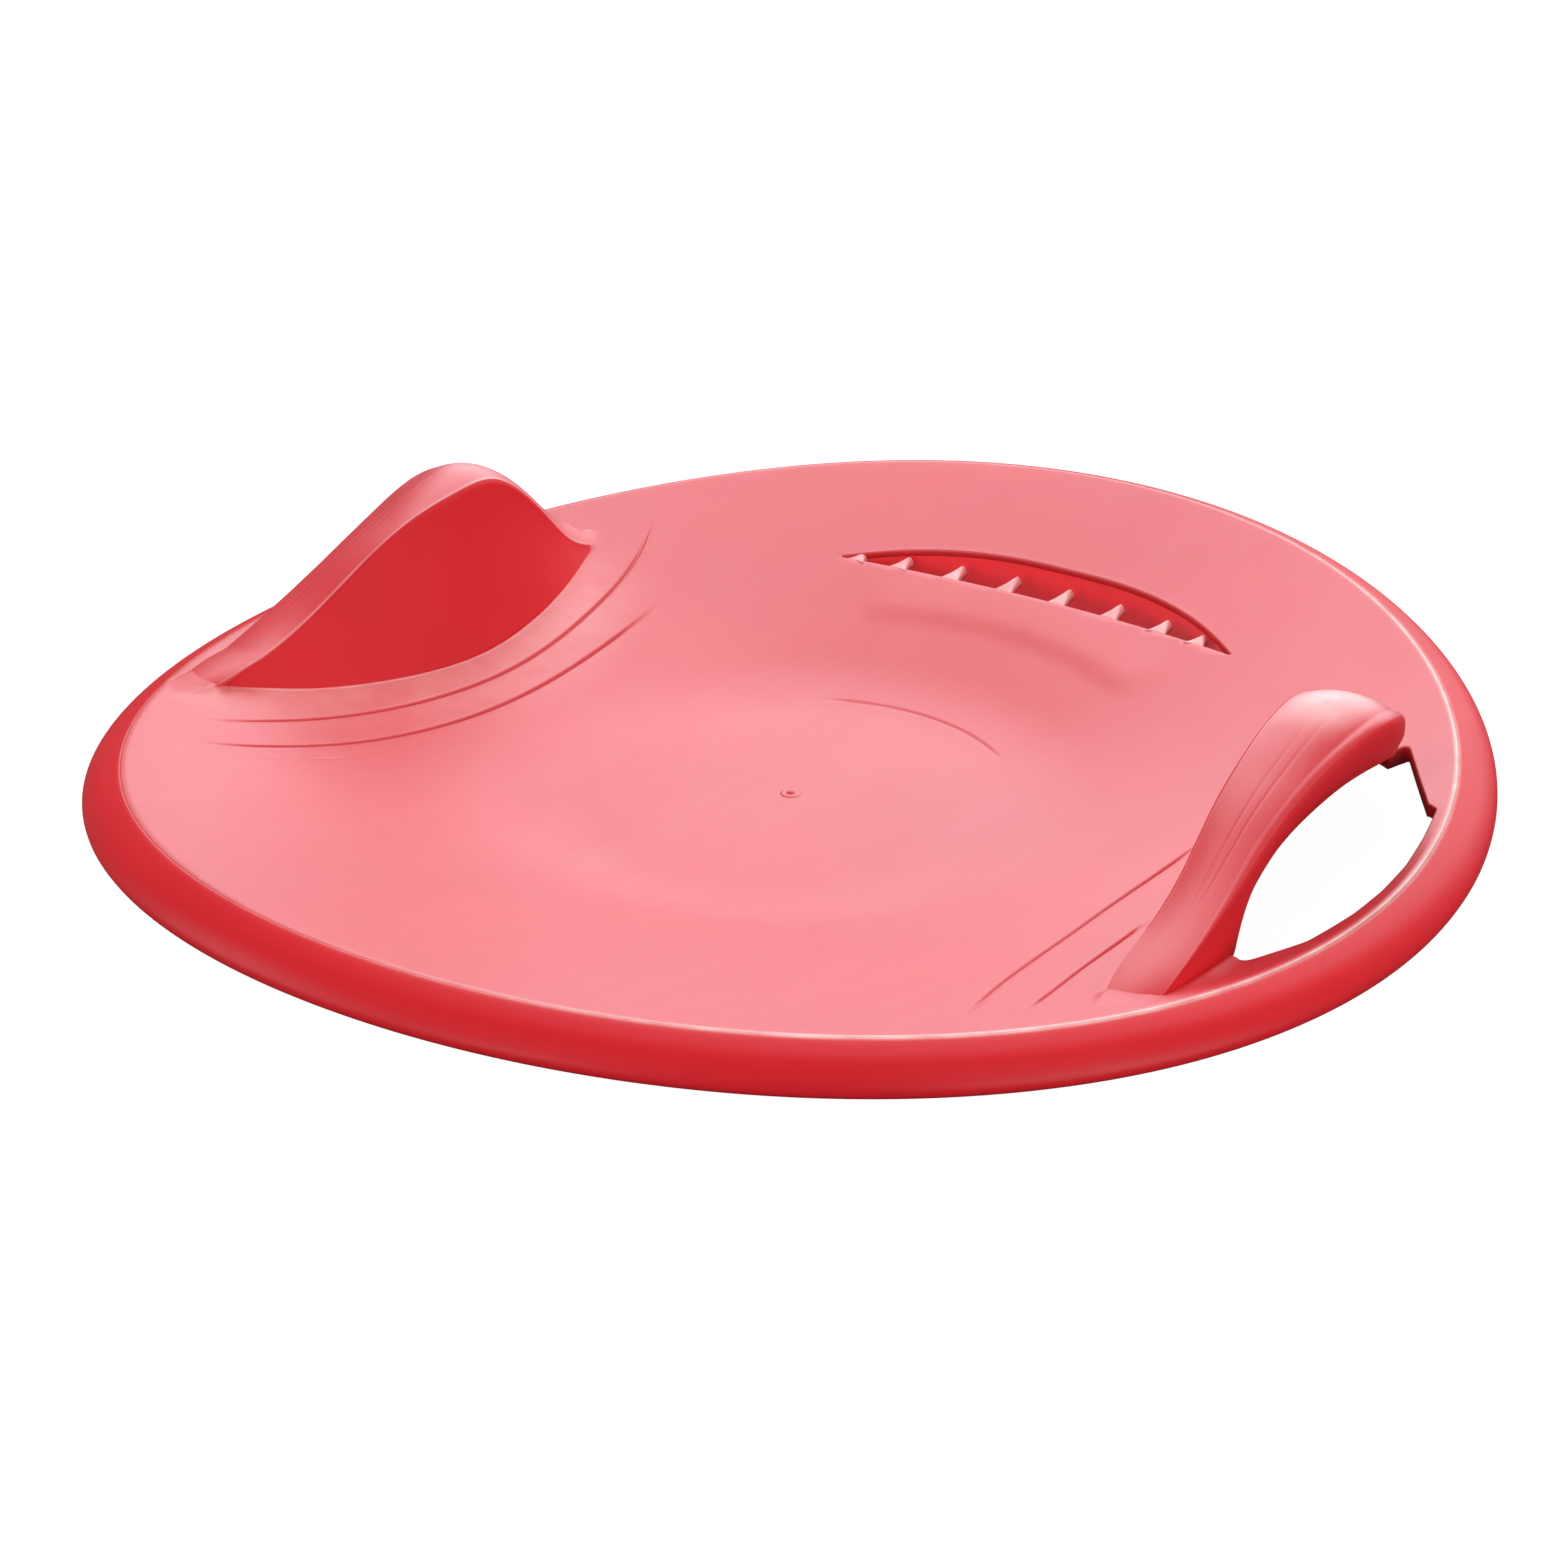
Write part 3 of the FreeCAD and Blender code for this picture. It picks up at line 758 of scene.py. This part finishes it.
def holeRows(flat, z, low, isSlot):
    # rounds the edge of a hole
    inset, normal = deck["edgeRound"], holeNormals(flat)
    hang = np.zeros(len(flat))
    if not isSlot:
        outShare, rearShare = deck["skirtFacing"]
        facing = np.sign(flat[:, 0]) * normal[:, 0] * outShare - normal[:, 1] * rearShare
        inner = rising(facing, *deck["skirtInner"])
        outerFrom, innerFrom = deck["skirtFrom"]
        hang = deck["skirt"][0] * rising(flat[:, 1], *outerFrom) * (1 - inner)
        hang = hang + deck["skirt"][1] * inner * rising(flat[:, 1], *innerFrom)
    bends = [(a, z, -1.0) for a in deck["edgeAngles"]]
    bends += [(a, low - hang, 0.5) for a in deck["underAngles"]]
    rows, highlights = [], []
    for place, (angle, height, share) in enumerate(bends):
        a = math.radians(angle)
        row = columns([flat + normal * inset * math.sin(a),
                       height + share * inset * (1 - math.cos(a))])
        rows.append(row)
        # painted highlight on the rounded edges of the holes, stronger on the front edge of the
        # slot
        amount, count = deck["holeEdgeHighlight"]
        paintedHighlight = np.full(len(flat), amount if place < count else 0.0)
        amount, count = deck["slotEdgeHighlight"]
        if isSlot and place < count:
            front, spread = deck["slotHighlightFront"]
            paintedHighlight[row[:, 1] < front - ((row[:, 0] - deck["slotShift"]) / spread) ** 2] = amount
        highlights.append(paintedHighlight)
    return rows, highlights


def makeDeck():
    plan, faces, rings = deckPlan()
    top = deckTop(plan)
    under = deckUnder(plan, top)
    count = len(plan)
    verts = [columns([plan, top]), columns([plan, under])]
    highlights = [footHighlight(plan), np.zeros(count)]
    a, b, c = plan[faces[:, 0]], plan[faces[:, 1]], plan[faces[:, 2]]
    turned = np.cross(b - a, c - a) < 0
    faces[turned] = faces[turned][:, ::-1]
    allFaces = [tuple(f) for f in np.concatenate([faces, faces[:, ::-1] + count]).tolist()]
    total = 2 * count
    for number, ring in enumerate(rings):
        edge = plan[ring], top[ring], under[ring]
        rows, paintedHighlight = holeRows(*edge, number == len(holeLoops)) if number else ridgeRows(*edge)
        verts += rows
        highlights += paintedHighlight
        index, n = [ring], len(ring)
        for row in rows:
            index.append(np.arange(total, total + n))
            total += n
        index.append(ring + count)
        for upper, lower in zip(index, index[1:]):
            sides = columns([upper, lower, np.roll(lower, -1), np.roll(upper, -1)])
            allFaces += [tuple(f) for f in sides.tolist()]
    return meshPiece("seatDeck", np.concatenate(verts), allFaces, deckPlastic, np.concatenate(highlights))


finishPiece(makeDeck(), "seat_deck")


# rolled rim, swept around the ridge

rim = {
    "skin": [(0, 0), (1.6, -0.35), (4.6, -1.4), (9.4, -3.6), (14.0, -7.2), (16.3, -10.2),
             (17.0, -12.4), (16.6, -14.2), (15.4, -15.2), (13.9, -15.4)],
    "inside": [(12.9, -14.6), (13.2, -12.3), (11.0, -9.0), (7.0, -6.4), (3.0, -4.6), (0, -3.7)],
    "skinStep": 0.9,
    "around": 480,
    "lower": 0.62,  # the crest is rounded, so the sweep starts this far under the ridge
    "highlightWidth": 1.3,
    "highlightDepth": 3,
}


def nodeTree(name, lengths, counts=()):
    tree = bpy.data.node_groups.new(name, "GeometryNodeTree")
    tree.is_modifier = True
    tree.interface.new_socket("Geometry", in_out="OUTPUT", socket_type="NodeSocketGeometry")
    kinds = {"Geometry": ["Geometry"], "Float": lengths, "Int": counts, "Material": ["Plastic"]}
    for kind, titles in kinds.items():
        for title in titles:
            tree.interface.new_socket(title, in_out="INPUT", socket_type="NodeSocket" + kind)
    return tree, tree.nodes.new("NodeGroupInput").outputs


def closeTree(tree, geometry, plasticSocket):
    whole = addNode(tree, "GeometryNodeRealizeInstances", {"Geometry": geometry})
    paint = addNode(tree, "GeometryNodeSetMaterial", {
        "Geometry": whole.outputs["Geometry"], "Material": plasticSocket})
    addNode(tree, "NodeGroupOutput", {"Geometry": paint.outputs["Geometry"]})
    return tree


def ownPlace(tree):
    place = tree.nodes.new("GeometryNodeInputPosition").outputs["Position"]
    return addNode(tree, "ShaderNodeSeparateXYZ", {"Vector": place}).outputs


def movedTo(tree, geometry, x, y, z):
    join = addNode(tree, "ShaderNodeCombineXYZ", {"X": x, "Y": y, "Z": z})
    moved = addNode(tree, "GeometryNodeSetPosition", {
        "Geometry": geometry, "Position": join.outputs["Vector"]})
    return moved.outputs["Geometry"]


def bakeNodes(name, data, tree, values, highlightRule):
    # runs the tree on a holder, keeps the plain mesh and drops the modifier
    holder = addObject(name + "Holder", data)
    modifier = holder.modifiers.new(tree.name, "NODES")
    modifier.node_group = tree
    for item in tree.interface.items_tree:
        if item.item_type == "SOCKET" and item.in_out == "INPUT" and item.name in values:
            modifier[item.identifier] = values[item.name]
    bpy.context.view_layer.update()
    made = holder.evaluated_get(bpy.context.evaluated_depsgraph_get())
    mesh = bpy.data.meshes.new_from_object(made)
    mesh.name = name
    holder.modifiers.remove(modifier)
    bpy.data.objects.remove(holder)
    turnOutward(mesh)
    setPaintedHighlight(mesh, highlightRule(np.array([v.co for v in mesh.vertices]) / mm))
    return placePiece(name, mesh)


def rimTree():
    tree, given = nodeTree("rimSweep", ["Ridge Radius", "Side Rise", "End Climb"], ["Steps"])
    circle = addNode(tree, "GeometryNodeCurvePrimitiveCircle", {
        "Resolution": given["Steps"], "Radius": given["Ridge Radius"]})
    place = ownPlace(tree)
    share = mathNode(tree, "DIVIDE", place["Y"], given["Ridge Radius"])
    square = mathNode(tree, "MULTIPLY", share, share)
    climb = mathNode(tree, "MULTIPLY", square, given["End Climb"])
    height = mathNode(tree, "ADD", climb, given["Side Rise"])
    ridge = movedTo(tree, circle.outputs["Curve"], place["X"], place["Y"], height)
    upright = addNode(tree, "GeometryNodeSetCurveNormal", {"Curve": ridge})
    upright.mode = "Z_UP"
    sweep = addNode(tree, "GeometryNodeCurveToMesh", {
        "Curve": upright.outputs["Curve"], "Profile Curve": given["Geometry"]})
    return closeTree(tree, sweep.outputs["Mesh"], given["Plastic"])


# painted highlight along the crest of the rim
def rimHighlight(co):
    out = np.hypot(co[:, 0], co[:, 1]) - dish["ridgeRadius"]
    crest = dishHeight(co[:, 0], co[:, 1])
    highlights = np.clip(1.0 - out / rim["highlightWidth"], 0, 1) * crestHighlight(co[:, 0])
    return np.where(co[:, 2] > crest - rim["highlightDepth"], highlights, 0)


def makeRim():
    profile = np.concatenate([curveThrough(rim["skin"], rim["skinStep"]), rim["inside"]])
    data = bpy.data.curves.new("rimProfile", "CURVE")
    data.dimensions = "3D"
    line = data.splines.new("POLY")
    line.points.add(len(profile) - 1)
    for point, (out, up) in zip(line.points, profile):
        point.co = (out * mm, -up * mm, 0, 1)
    line.use_cyclic_u = True
    values = {
        "Ridge Radius": dish["ridgeRadius"] * mm,
        "Side Rise": (dish["riseSide"] + dish["top"] - rim["lower"]) * mm,
        "End Climb": (dish["riseEnd"] - dish["riseSide"]) * mm,
        "Steps": rim["around"],
        "Plastic": rimPlastic,
    }
    return bakeNodes("edgeRim", data, rimTree(), values, rimHighlight)


finishPiece(makeRim(), "edge_rim")


# grip bands and walls

band = {
    # lower edge of the lip over a hand opening: place and height
    "arch": [
        (-55.0, 27.7), (-46.5, 42.5), (-37.0, 49.4), (-24.6, 55.2), (-9.5, 60.3), (5.6, 64.0),
        (24.0, 67.4), (50.8, 67.0), (75.5, 59.5), (91.7, 49.5), (103.8, 40.5), (111.9, 37.5),
        (122.0, 35.2),
    ],
    "sink": 4.0,  # how far the lip goes below the deck past the arch
    "lipLeast": 7.0,
    "lipBow": 0.5,
    "curl": 4.6,  # the lip turns under where fingers hold it
    "curlFrom": (-75, 45),
    "underDrop": (0.4, 3.4),  # outer and inner corner of the inside
    "underInset": 0.15,
    # radii, the first two as the least, how much more, and where that comes in
    "innerRound": (0.4, 1.8, -105, 40),
    "outerRound": (0.6, 6.4, -108, 120),
    "bowRound": 14.0,
    "lipRound": 0.9,
    "underRound": 3.0,
    "points": {"inner": 8, "crown": 40, "outer": 12, "bow": 6, "lip": 4, "under": 5},
    "plainFrom": 54,  # first point of a section on its unpolished lip
    "lines": [(0.46, 0.28, 0.55), (0.60, 0.28, 0.55)],  # share of the width, depth, half width
    "lineSpan": ((-96, 40), (96, 30)),
    "edgeFade": (0.3, 0.42, 0.42, 0.42, 0.42, 0.42, 0.25, 0.05),
    "edgeHighlight": (1.0, 0.25),  # left, right
    "domeHighlight": (0.0, 0.80),
    "domeHighlightShare": (0.42, 0.55),  # painted highlight on the rear of the crest
    "domeHighlightSpan": ((14, 32), (92, 30)),
    "highlightFrom": (1, 5),  # height of a grip above the deck
}
archTable = np.array(band["arch"])


def fillet2d(corner, before, after, radius, count, edgeShare=0.48):
    back, on, edge = cornerWays(corner, before, after)
    half = math.acos(np.clip(back @ on, -1, 1)) / 2
    reach = min(radius / math.tan(half), edgeShare * edge)
    centre = corner + (back + on) / np.linalg.norm(back + on) * reach / math.cos(half)
    first, last = corner + back * reach - centre, corner + on * reach - centre
    turn = math.atan2(first[0] * last[1] - first[1] * last[0], first @ last)
    out = []
    for t in np.linspace(0, turn, count):
        c, s = math.cos(t), math.sin(t)
        out.append(centre + np.array([first[0] * c - first[1] * s, first[0] * s + first[1] * c]))
    return out


def settle(points, y):
    # keeps the ends of a grip within the wall of the deck
    front, rear = grip["settled"]
    if y < front or y > rear:
        ground = dishHeight(points[:, 0], np.full(len(points), y))
        points[:, 1] = np.maximum(points[:, 1], ground - grip["settleDepth"])
    return points


def roundAt(key, y):
    least, more, start, run = band[key]
    return least + more * float(rising(y, start, run))


def bandSection(y, ix, iz, ox, oz):
    wall, count = grip["wall"], band["points"]
    low = float(dishHeight(np.array(ox), np.array(y))) - band["sink"]
    if archTable[0, 0] < y < archTable[-1, 0]:
        low = max(float(tableAt(archTable, 1, y)), low)
    low = min(low, oz - band["lipLeast"])
    curl = float(rising(y, *band["curlFrom"]))
    bowed = ox + band["lipBow"]
    outDrop, inDrop = band["underDrop"]
    inner, outer = np.array([ix, iz]), np.array([ox, oz])
    lipMid = np.array([bowed, low + 0.5 * (oz - low)])
    lipLow = np.array([bowed - band["curl"] * curl, low])
    lipBack = lipLow - (wall, 0)
    underOut = np.array([ox - wall, oz - wall - outDrop])
    underIn = np.array([ix + band["underInset"], iz - inDrop])
    edge = fillet2d(inner, underIn, outer, roundAt("innerRound", y), count["inner"])
    corner = fillet2d(outer, inner, lipMid, roundAt("outerRound", y), count["outer"])
    a, b = edge[-1], corner[0]
    along = (b - a) / np.linalg.norm(b - a)
    up = np.array([-along[1], along[0]])
    width = ox - ix
    fade = float(between(y, *band["lineSpan"]))
    crown = float(crownAt(y))
    points = list(edge)
    for t in np.linspace(0, 1, count["crown"] + 2)[1:-1]:
        spot = a + (b - a) * t
        rise = crown * bulge(t)
        for share, depth, half in band["lines"]:
            gap = abs((spot[0] - ix) / width - share) * width
            if gap < half:
                rise -= depth * fade * ripple(gap, half)
        points.append(spot + up * rise)
    points += corner
    points += fillet2d(lipMid, outer, lipLow, band["bowRound"], count["bow"])
    points += fillet2d(lipLow, lipMid, lipBack, band["lipRound"], count["lip"])
    points += fillet2d(lipBack, lipLow, underOut, band["lipRound"], count["lip"])
    points += fillet2d(underOut, lipBack, underIn, band["underRound"], count["under"])
    points.append(underIn)
    return settle(np.array(points), y)


# painted highlights on a band: a line along its inner edge, brightest on the left, and a patch on
# the rear of the crest of the right grip
def bandHighlight(y, size, right):
    inner, crown = band["points"]["inner"], band["points"]["crown"]
    middle, spread = band["domeHighlightShare"]
    domeSpread = np.clip(1 - ((np.linspace(0, 1, crown) - middle) / spread) ** 2, 0, 1)
    paintedHighlight = np.zeros(size)
    paintedHighlight[:inner] = np.array(band["edgeFade"]) * band["edgeHighlight"][right]
    held = float(between(y, *band["domeHighlightSpan"]))
    paintedHighlight[inner:inner + crown] = domeSpread * held * band["domeHighlight"][right]
    return paintedHighlight


def wallSection(y, side):
    base, low, topX, high, hollow = (float(v) for v in wallShape(np.array(y), side))
    tall, (frontSink, backSink) = high - low, grip["wallSink"]
    front, back = [], []
    for s in np.linspace(-frontSink / tall, 1, grip["wallPoints"]):
        lean = (topX + grip["wallLean"] - base) * s
        front.append((base + lean + hollow * bulge(s), low + tall * s))
    for s in np.linspace(-backSink / tall, 1, grip["wallPoints"]):
        lean = (topX - base) * s
        back.append((base + grip["wall"] + lean + hollow * bulge(s), low + tall * s))
    return settle(np.array(front + back[::-1]), y)


def makeGrip(hand, way):
    places = np.arange(*grip["places"])
    ix, iz, ox, oz, base = gripAt(places, way)
    high = iz - dishHeight(base, places)

    def stood(section, y):
        return columns([way * section[:, 0], np.full(len(section), y), section[:, 1]])

    bandRows, wallRows, highlights = [], [], []
    for k, y in enumerate(places):
        bandRows.append(stood(bandSection(y, ix[k], iz[k], ox[k], oz[k]), y))
        clear = float(rising(high[k], *band["highlightFrom"]))
        highlights.append(bandHighlight(y, len(bandRows[-1]), way > 0) * clear)
        if high[k] > grip["wallFrom"]:
            wallRows.append(stood(wallSection(y, way), y))
    rows, width = len(bandRows), len(bandRows[0])
    plain = [int(c >= band["plainFrom"]) for c in range(width)] * (rows - 1) + [1, 1]
    piece = meshPiece(hand + "GripBand", np.concatenate(bandRows), loftFaces(rows, width),
                      bandPlastic, np.concatenate(highlights), wallPlastic, plain)
    finishPiece(piece, hand + "_grip_band")
    piece = meshPiece(hand + "GripWall", np.concatenate(wallRows),
                      loftFaces(len(wallRows), len(wallRows[0])), wallPlastic)
    finishPiece(piece, hand + "_grip_wall")


makeGrip("right", 1)
makeGrip("left", -1)


# apron behind the rear slot

apron = {
    "section": [(0.2, -0.8), (0.1, -4.0), (0.0, -9.0), (0.0, -15.0), (0.2, -24.0), (0.7, -24.7),
                (1.5, -25.0), (2.4, -24.6), (3.0, -23.8), (3.0, -3.0), (1.6, -1.4)],
    "past": 1,  # how far it goes on past the ends of the slot
    "behind": 0.2,
    "count": 140,
}


def makeApron():
    line = slotBack(deck["slotHalf"] + apron["past"], apron["behind"], apron["count"])
    rows = []
    for p, n in zip(line, sideways(line)):
        z = float(dishHeight(p[0], p[1]))
        rows.append([(*(p + n * out), z + up) for out, up in apron["section"]])
    faces = loftFaces(len(rows), len(rows[0]))
    return meshPiece("rearSlotApron", np.concatenate(rows), faces, wallPlastic)


slotApron = makeApron()
finishPiece(slotApron, "rear_slot_apron")


# teeth along the slot's front edge

teeth = {
    "places": [15.0, 45.0, 73.5, 96.0],
    "reach": [13.0, 12.0, 10.5, 8.0],
    "base": 11.0, "tip": 2.8, "thick": 3.4, "points": (13, 9, 3),
    "shoulder": -2.2, "fall": -1.4, "fallPower": 4.0, "taperPower": 0.6,
    "root": 1.5,  # how far a tooth starts inside the deck
    "sink": 0.1,
    "slopeRun": 8,
    # painted highlight on the tops of the teeth
    "paintedHighlight": 0.6,
}


def teethTree():
    tree, given = nodeTree("slotTeeth", [
        "Base Width", "Tip Width", "Thickness", "Shoulder", "Fall"])

    def calc(operation, a, b):
        return mathNode(tree, operation, a, b)

    def named(name):
        node = addNode(tree, "GeometryNodeInputNamedAttribute", {"Name": name})
        node.data_type = "FLOAT_VECTOR"
        return node.outputs["Attribute"]

    across, along, up = teeth["points"]
    block = addNode(tree, "GeometryNodeMeshCube", {
        "Size": (1, 1, 1), "Vertices X": across, "Vertices Y": along, "Vertices Z": up})
    place = ownPlace(tree)
    along = calc("ADD", place["Y"], 0.5)
    narrow = calc("SUBTRACT", given["Base Width"], given["Tip Width"])
    taper = calc("MULTIPLY", calc("POWER", along, teeth["taperPower"]), narrow)
    width = calc("SUBTRACT", given["Base Width"], taper)
    double = calc("MULTIPLY", place["X"], 2.0)
    shoulder = calc("MULTIPLY", calc("MULTIPLY", double, double), given["Shoulder"])
    edge = calc("MULTIPLY", shoulder, along)
    fall = calc("MULTIPLY", calc("POWER", along, teeth["fallPower"]), given["Fall"])
    deep = calc("MULTIPLY", calc("SUBTRACT", place["Z"], 0.5), given["Thickness"])
    height = calc("ADD", calc("ADD", deep, edge), fall)
    tooth = movedTo(tree, block.outputs["Mesh"], calc("MULTIPLY", place["X"], width), along, height)
    points = addNode(tree, "GeometryNodeMeshToPoints", {"Mesh": given["Geometry"]})
    copies = addNode(tree, "GeometryNodeInstanceOnPoints", {
        "Points": points.outputs["Points"], "Instance": tooth,
        "Rotation": named("lean"), "Scale": named("stretch")})
    return closeTree(tree, copies.outputs["Instances"], given["Plastic"])


def makeTeeth():
    spots, leans, sizes = [], [], []
    for place, reach in zip(teeth["places"], teeth["reach"]):
        for x in (place, -place):
            y = float(slotFrontAt(x - deck["slotShift"])) - teeth["root"]
            z = float(dishHeight(x, y))
            slope = float(dishHeight(x, y + teeth["slopeRun"]) - z) / teeth["slopeRun"]
            spots.append((x * mm, y * mm, (z - teeth["sink"]) * mm))
            leans += [math.atan(slope), 0.0, 0.0]
            sizes += [1.0, (reach + teeth["root"]) * mm, 1.0]
    mesh = bpy.data.meshes.new("teethPlaces")
    mesh.from_pydata(spots, [], [])
    for name, vectors in (("lean", leans), ("stretch", sizes)):
        mesh.attributes.new(name, "FLOAT_VECTOR", "POINT").data.foreach_set("vector", vectors)
    values = {
        "Base Width": teeth["base"] * mm,
        "Tip Width": teeth["tip"] * mm,
        "Thickness": teeth["thick"] * mm,
        "Shoulder": teeth["shoulder"] * mm,
        "Fall": teeth["fall"] * mm,
        "Plastic": bandPlastic,
    }
    return bakeNodes("rearSlotTeeth", mesh, teethTree(), values,
                     lambda co: np.full(len(co), teeth["paintedHighlight"]))


finishPiece(makeTeeth(), "rear_slot_ribs")


# mark left by the moulding gate

gate = {
    "profile": [(0.0, 1.2), (0.7, 1.15), (1.3, 0.85), (1.7, 0.45), (2.2, 0.2), (3.2, 0.3),
                (4.0, 0.35), (4.5, 0.2), (4.9, -0.1), (4.9, -1.0)],
    "around": 48,
    "pinhole": 1e-4,  # the middle is a point once it is welded
}


def makeGate():
    n, verts = gate["around"], []
    for out, up in gate["profile"]:
        for turn in 2 * math.pi * np.arange(n) / n:
            reach = out + gate["pinhole"]
            verts.append((reach * math.cos(turn), reach * math.sin(turn), dish["top"] + up))
    return meshPiece("gateMark", verts, loftFaces(len(gate["profile"]), n), deckPlastic)


finishPiece(makeGate(), "centre_gate_stub")


# floor, light and camera

studio = {
    "world": 0.20,
    "floorHalf": 6, "floorDark": (0.12, 0.12, 0.12), "floorPale": (0.14, 0.14, 0.14),
    "floorCloud": 1.4, "floorRough": 0.9, "floorSpecular": 0.1, "floorGlow": 0.97,
    "cool": (0.93, 1.00, 1.07),  # daylight from behind
    "warm": (1.00, 0.97, 0.96),  # lamps in front
    "lights": [
        # name, bearing from the rear, height angle, distance, width, height, brightness
        ("backLow", -15, 6, 4.0, 5.57, 1.12, 1.0),
        ("backMid", -15, 22, 4.0, 5.19, 1.12, 3.2),
        ("backUpper", -15, 38, 4.0, 4.41, 1.12, 2.8),
        ("backHigh", -15, 54, 4.0, 3.29, 1.12, 3.4),
        ("backTop", -15, 70, 4.0, 1.92, 1.12, 3.8),
        ("backLeft", -62, 38, 4.0, 1.26, 1.6, 1.0),
        ("backLeftHigh", -62, 60, 4.0, 0.80, 1.6, 4.2),
        ("frontKey", 180, 16, 3.0, 1.0, 1.0, 5.0),
        ("frontHighKey", 180, 42, 3.0, 1.0, 1.0, 1.6),
        ("leftKey", 225, 16, 3.0, 2.0, 1.6, 2.5),
        ("rightKey", 95, 16, 3.0, 2.0, 1.6, 3.6),
        ("rightHighKey", 95, 44, 3.0, 1.0, 1.0, 1.8),
    ],
}


def paleFloor():
    mat = bpy.data.materials.new("paleFloor")
    mat.use_nodes = True
    tree = mat.node_tree
    coord = tree.nodes.new("ShaderNodeTexCoord").outputs["Object"]
    cloud = addNode(tree, "ShaderNodeTexNoise", {"Scale": studio["floorCloud"], "Vector": coord})
    tone = mixNode(tree, cloud.outputs["Fac"], studio["floorDark"], studio["floorPale"])
    setInputs(tree, tree.nodes["Principled BSDF"], {
        "Base Color": tone, "Roughness": studio["floorRough"],
        "Specular IOR Level": studio["floorSpecular"],
        "Emission Color": (1, 1, 1, 1), "Emission Strength": studio["floorGlow"]})
    return mat


half = studio["floorHalf"]
floorCorners = [(-half, -half, 0), (half, -half, 0), (half, half, 0), (-half, half, 0)]
floorMesh = bpy.data.meshes.new("studioFloor")
floorMesh.from_pydata(floorCorners, [], [(0, 1, 2, 3)])
floorMesh.materials.append(paleFloor())
floor = addObject("studioFloor", floorMesh)
# the floor's glow lights only itself and the slot from below
glowReach = bpy.data.collections.new("glowReach")
glowReach.objects.link(floor)
glowReach.objects.link(slotApron)
floor.light_linking.receiver_collection = glowReach

world = bpy.data.worlds.new("studioWorld")
scene.world = world
world.use_nodes = True
setInputs(world.node_tree, world.node_tree.nodes["Background"], {
    "Color": (1, 1, 1, 1), "Strength": studio["world"]})

for name, bearing, lift, far, width, height, bright in studio["lights"]:
    a, e = math.radians(bearing), math.radians(lift)
    place = Vector((math.sin(a) * math.cos(e), math.cos(a) * math.cos(e), math.sin(e))) * far
    data = bpy.data.lights.new(name, "AREA")
    data.shape = "RECTANGLE"
    data.size, data.size_y = width, height
    data.energy = bright * math.pi * width * height
    data.color = studio["cool" if name.startswith("back") else "warm"]
    lamp = addObject(name, data)
    lamp.location = place
    lamp.rotation_euler = (-place).to_track_quat("-Z", "Y").to_euler()
    lamp.visible_camera = False

view = {
    "turn": 37.735, "height": 26.51, "roll": -1.29,  # degrees
    "distance": 1.25,
    "focus": 2838.0,  # in pixels of the 1560 wide picture
    "axis": (791.0, 793.0),  # picture place of the middle of the seat
    "frame": 1560.0,
    "sensor": 36.0,
    "clip": (0.05, 40),
}


def makeCamera():
    a, e, roll = (math.radians(view[k]) for k in ("turn", "height", "roll"))
    right = Vector((math.cos(a), math.sin(a), 0))
    ahead = Vector((-math.sin(a) * math.cos(e), math.cos(a) * math.cos(e), -math.sin(e)))
    up = right.cross(ahead)
    side = right * math.cos(roll) + up * math.sin(roll)
    top = up * math.cos(roll) - right * math.sin(roll)
    data = bpy.data.cameras.new("photoCamera")
    data.sensor_width = view["sensor"]
    data.lens = view["sensor"] * view["focus"] / view["frame"]
    data.shift_x = (view["frame"] / 2 - view["axis"][0]) / view["frame"]
    data.shift_y = (view["axis"][1] - view["frame"] / 2) / view["frame"]
    data.clip_start, data.clip_end = view["clip"]
    camera = addObject("photoCamera", data)
    place = Vector((0, 0, dish["top"] * mm)) - ahead * view["distance"]
    turn = Matrix((side, top, -ahead)).transposed().to_4x4()
    camera.matrix_world = Matrix.Translation(place) @ turn
    scene.camera = camera


makeCamera()
scene.view_settings.view_transform = "Standard"
scene.view_settings.look = "None"
scene.view_settings.exposure = 0.0
print("studio set")
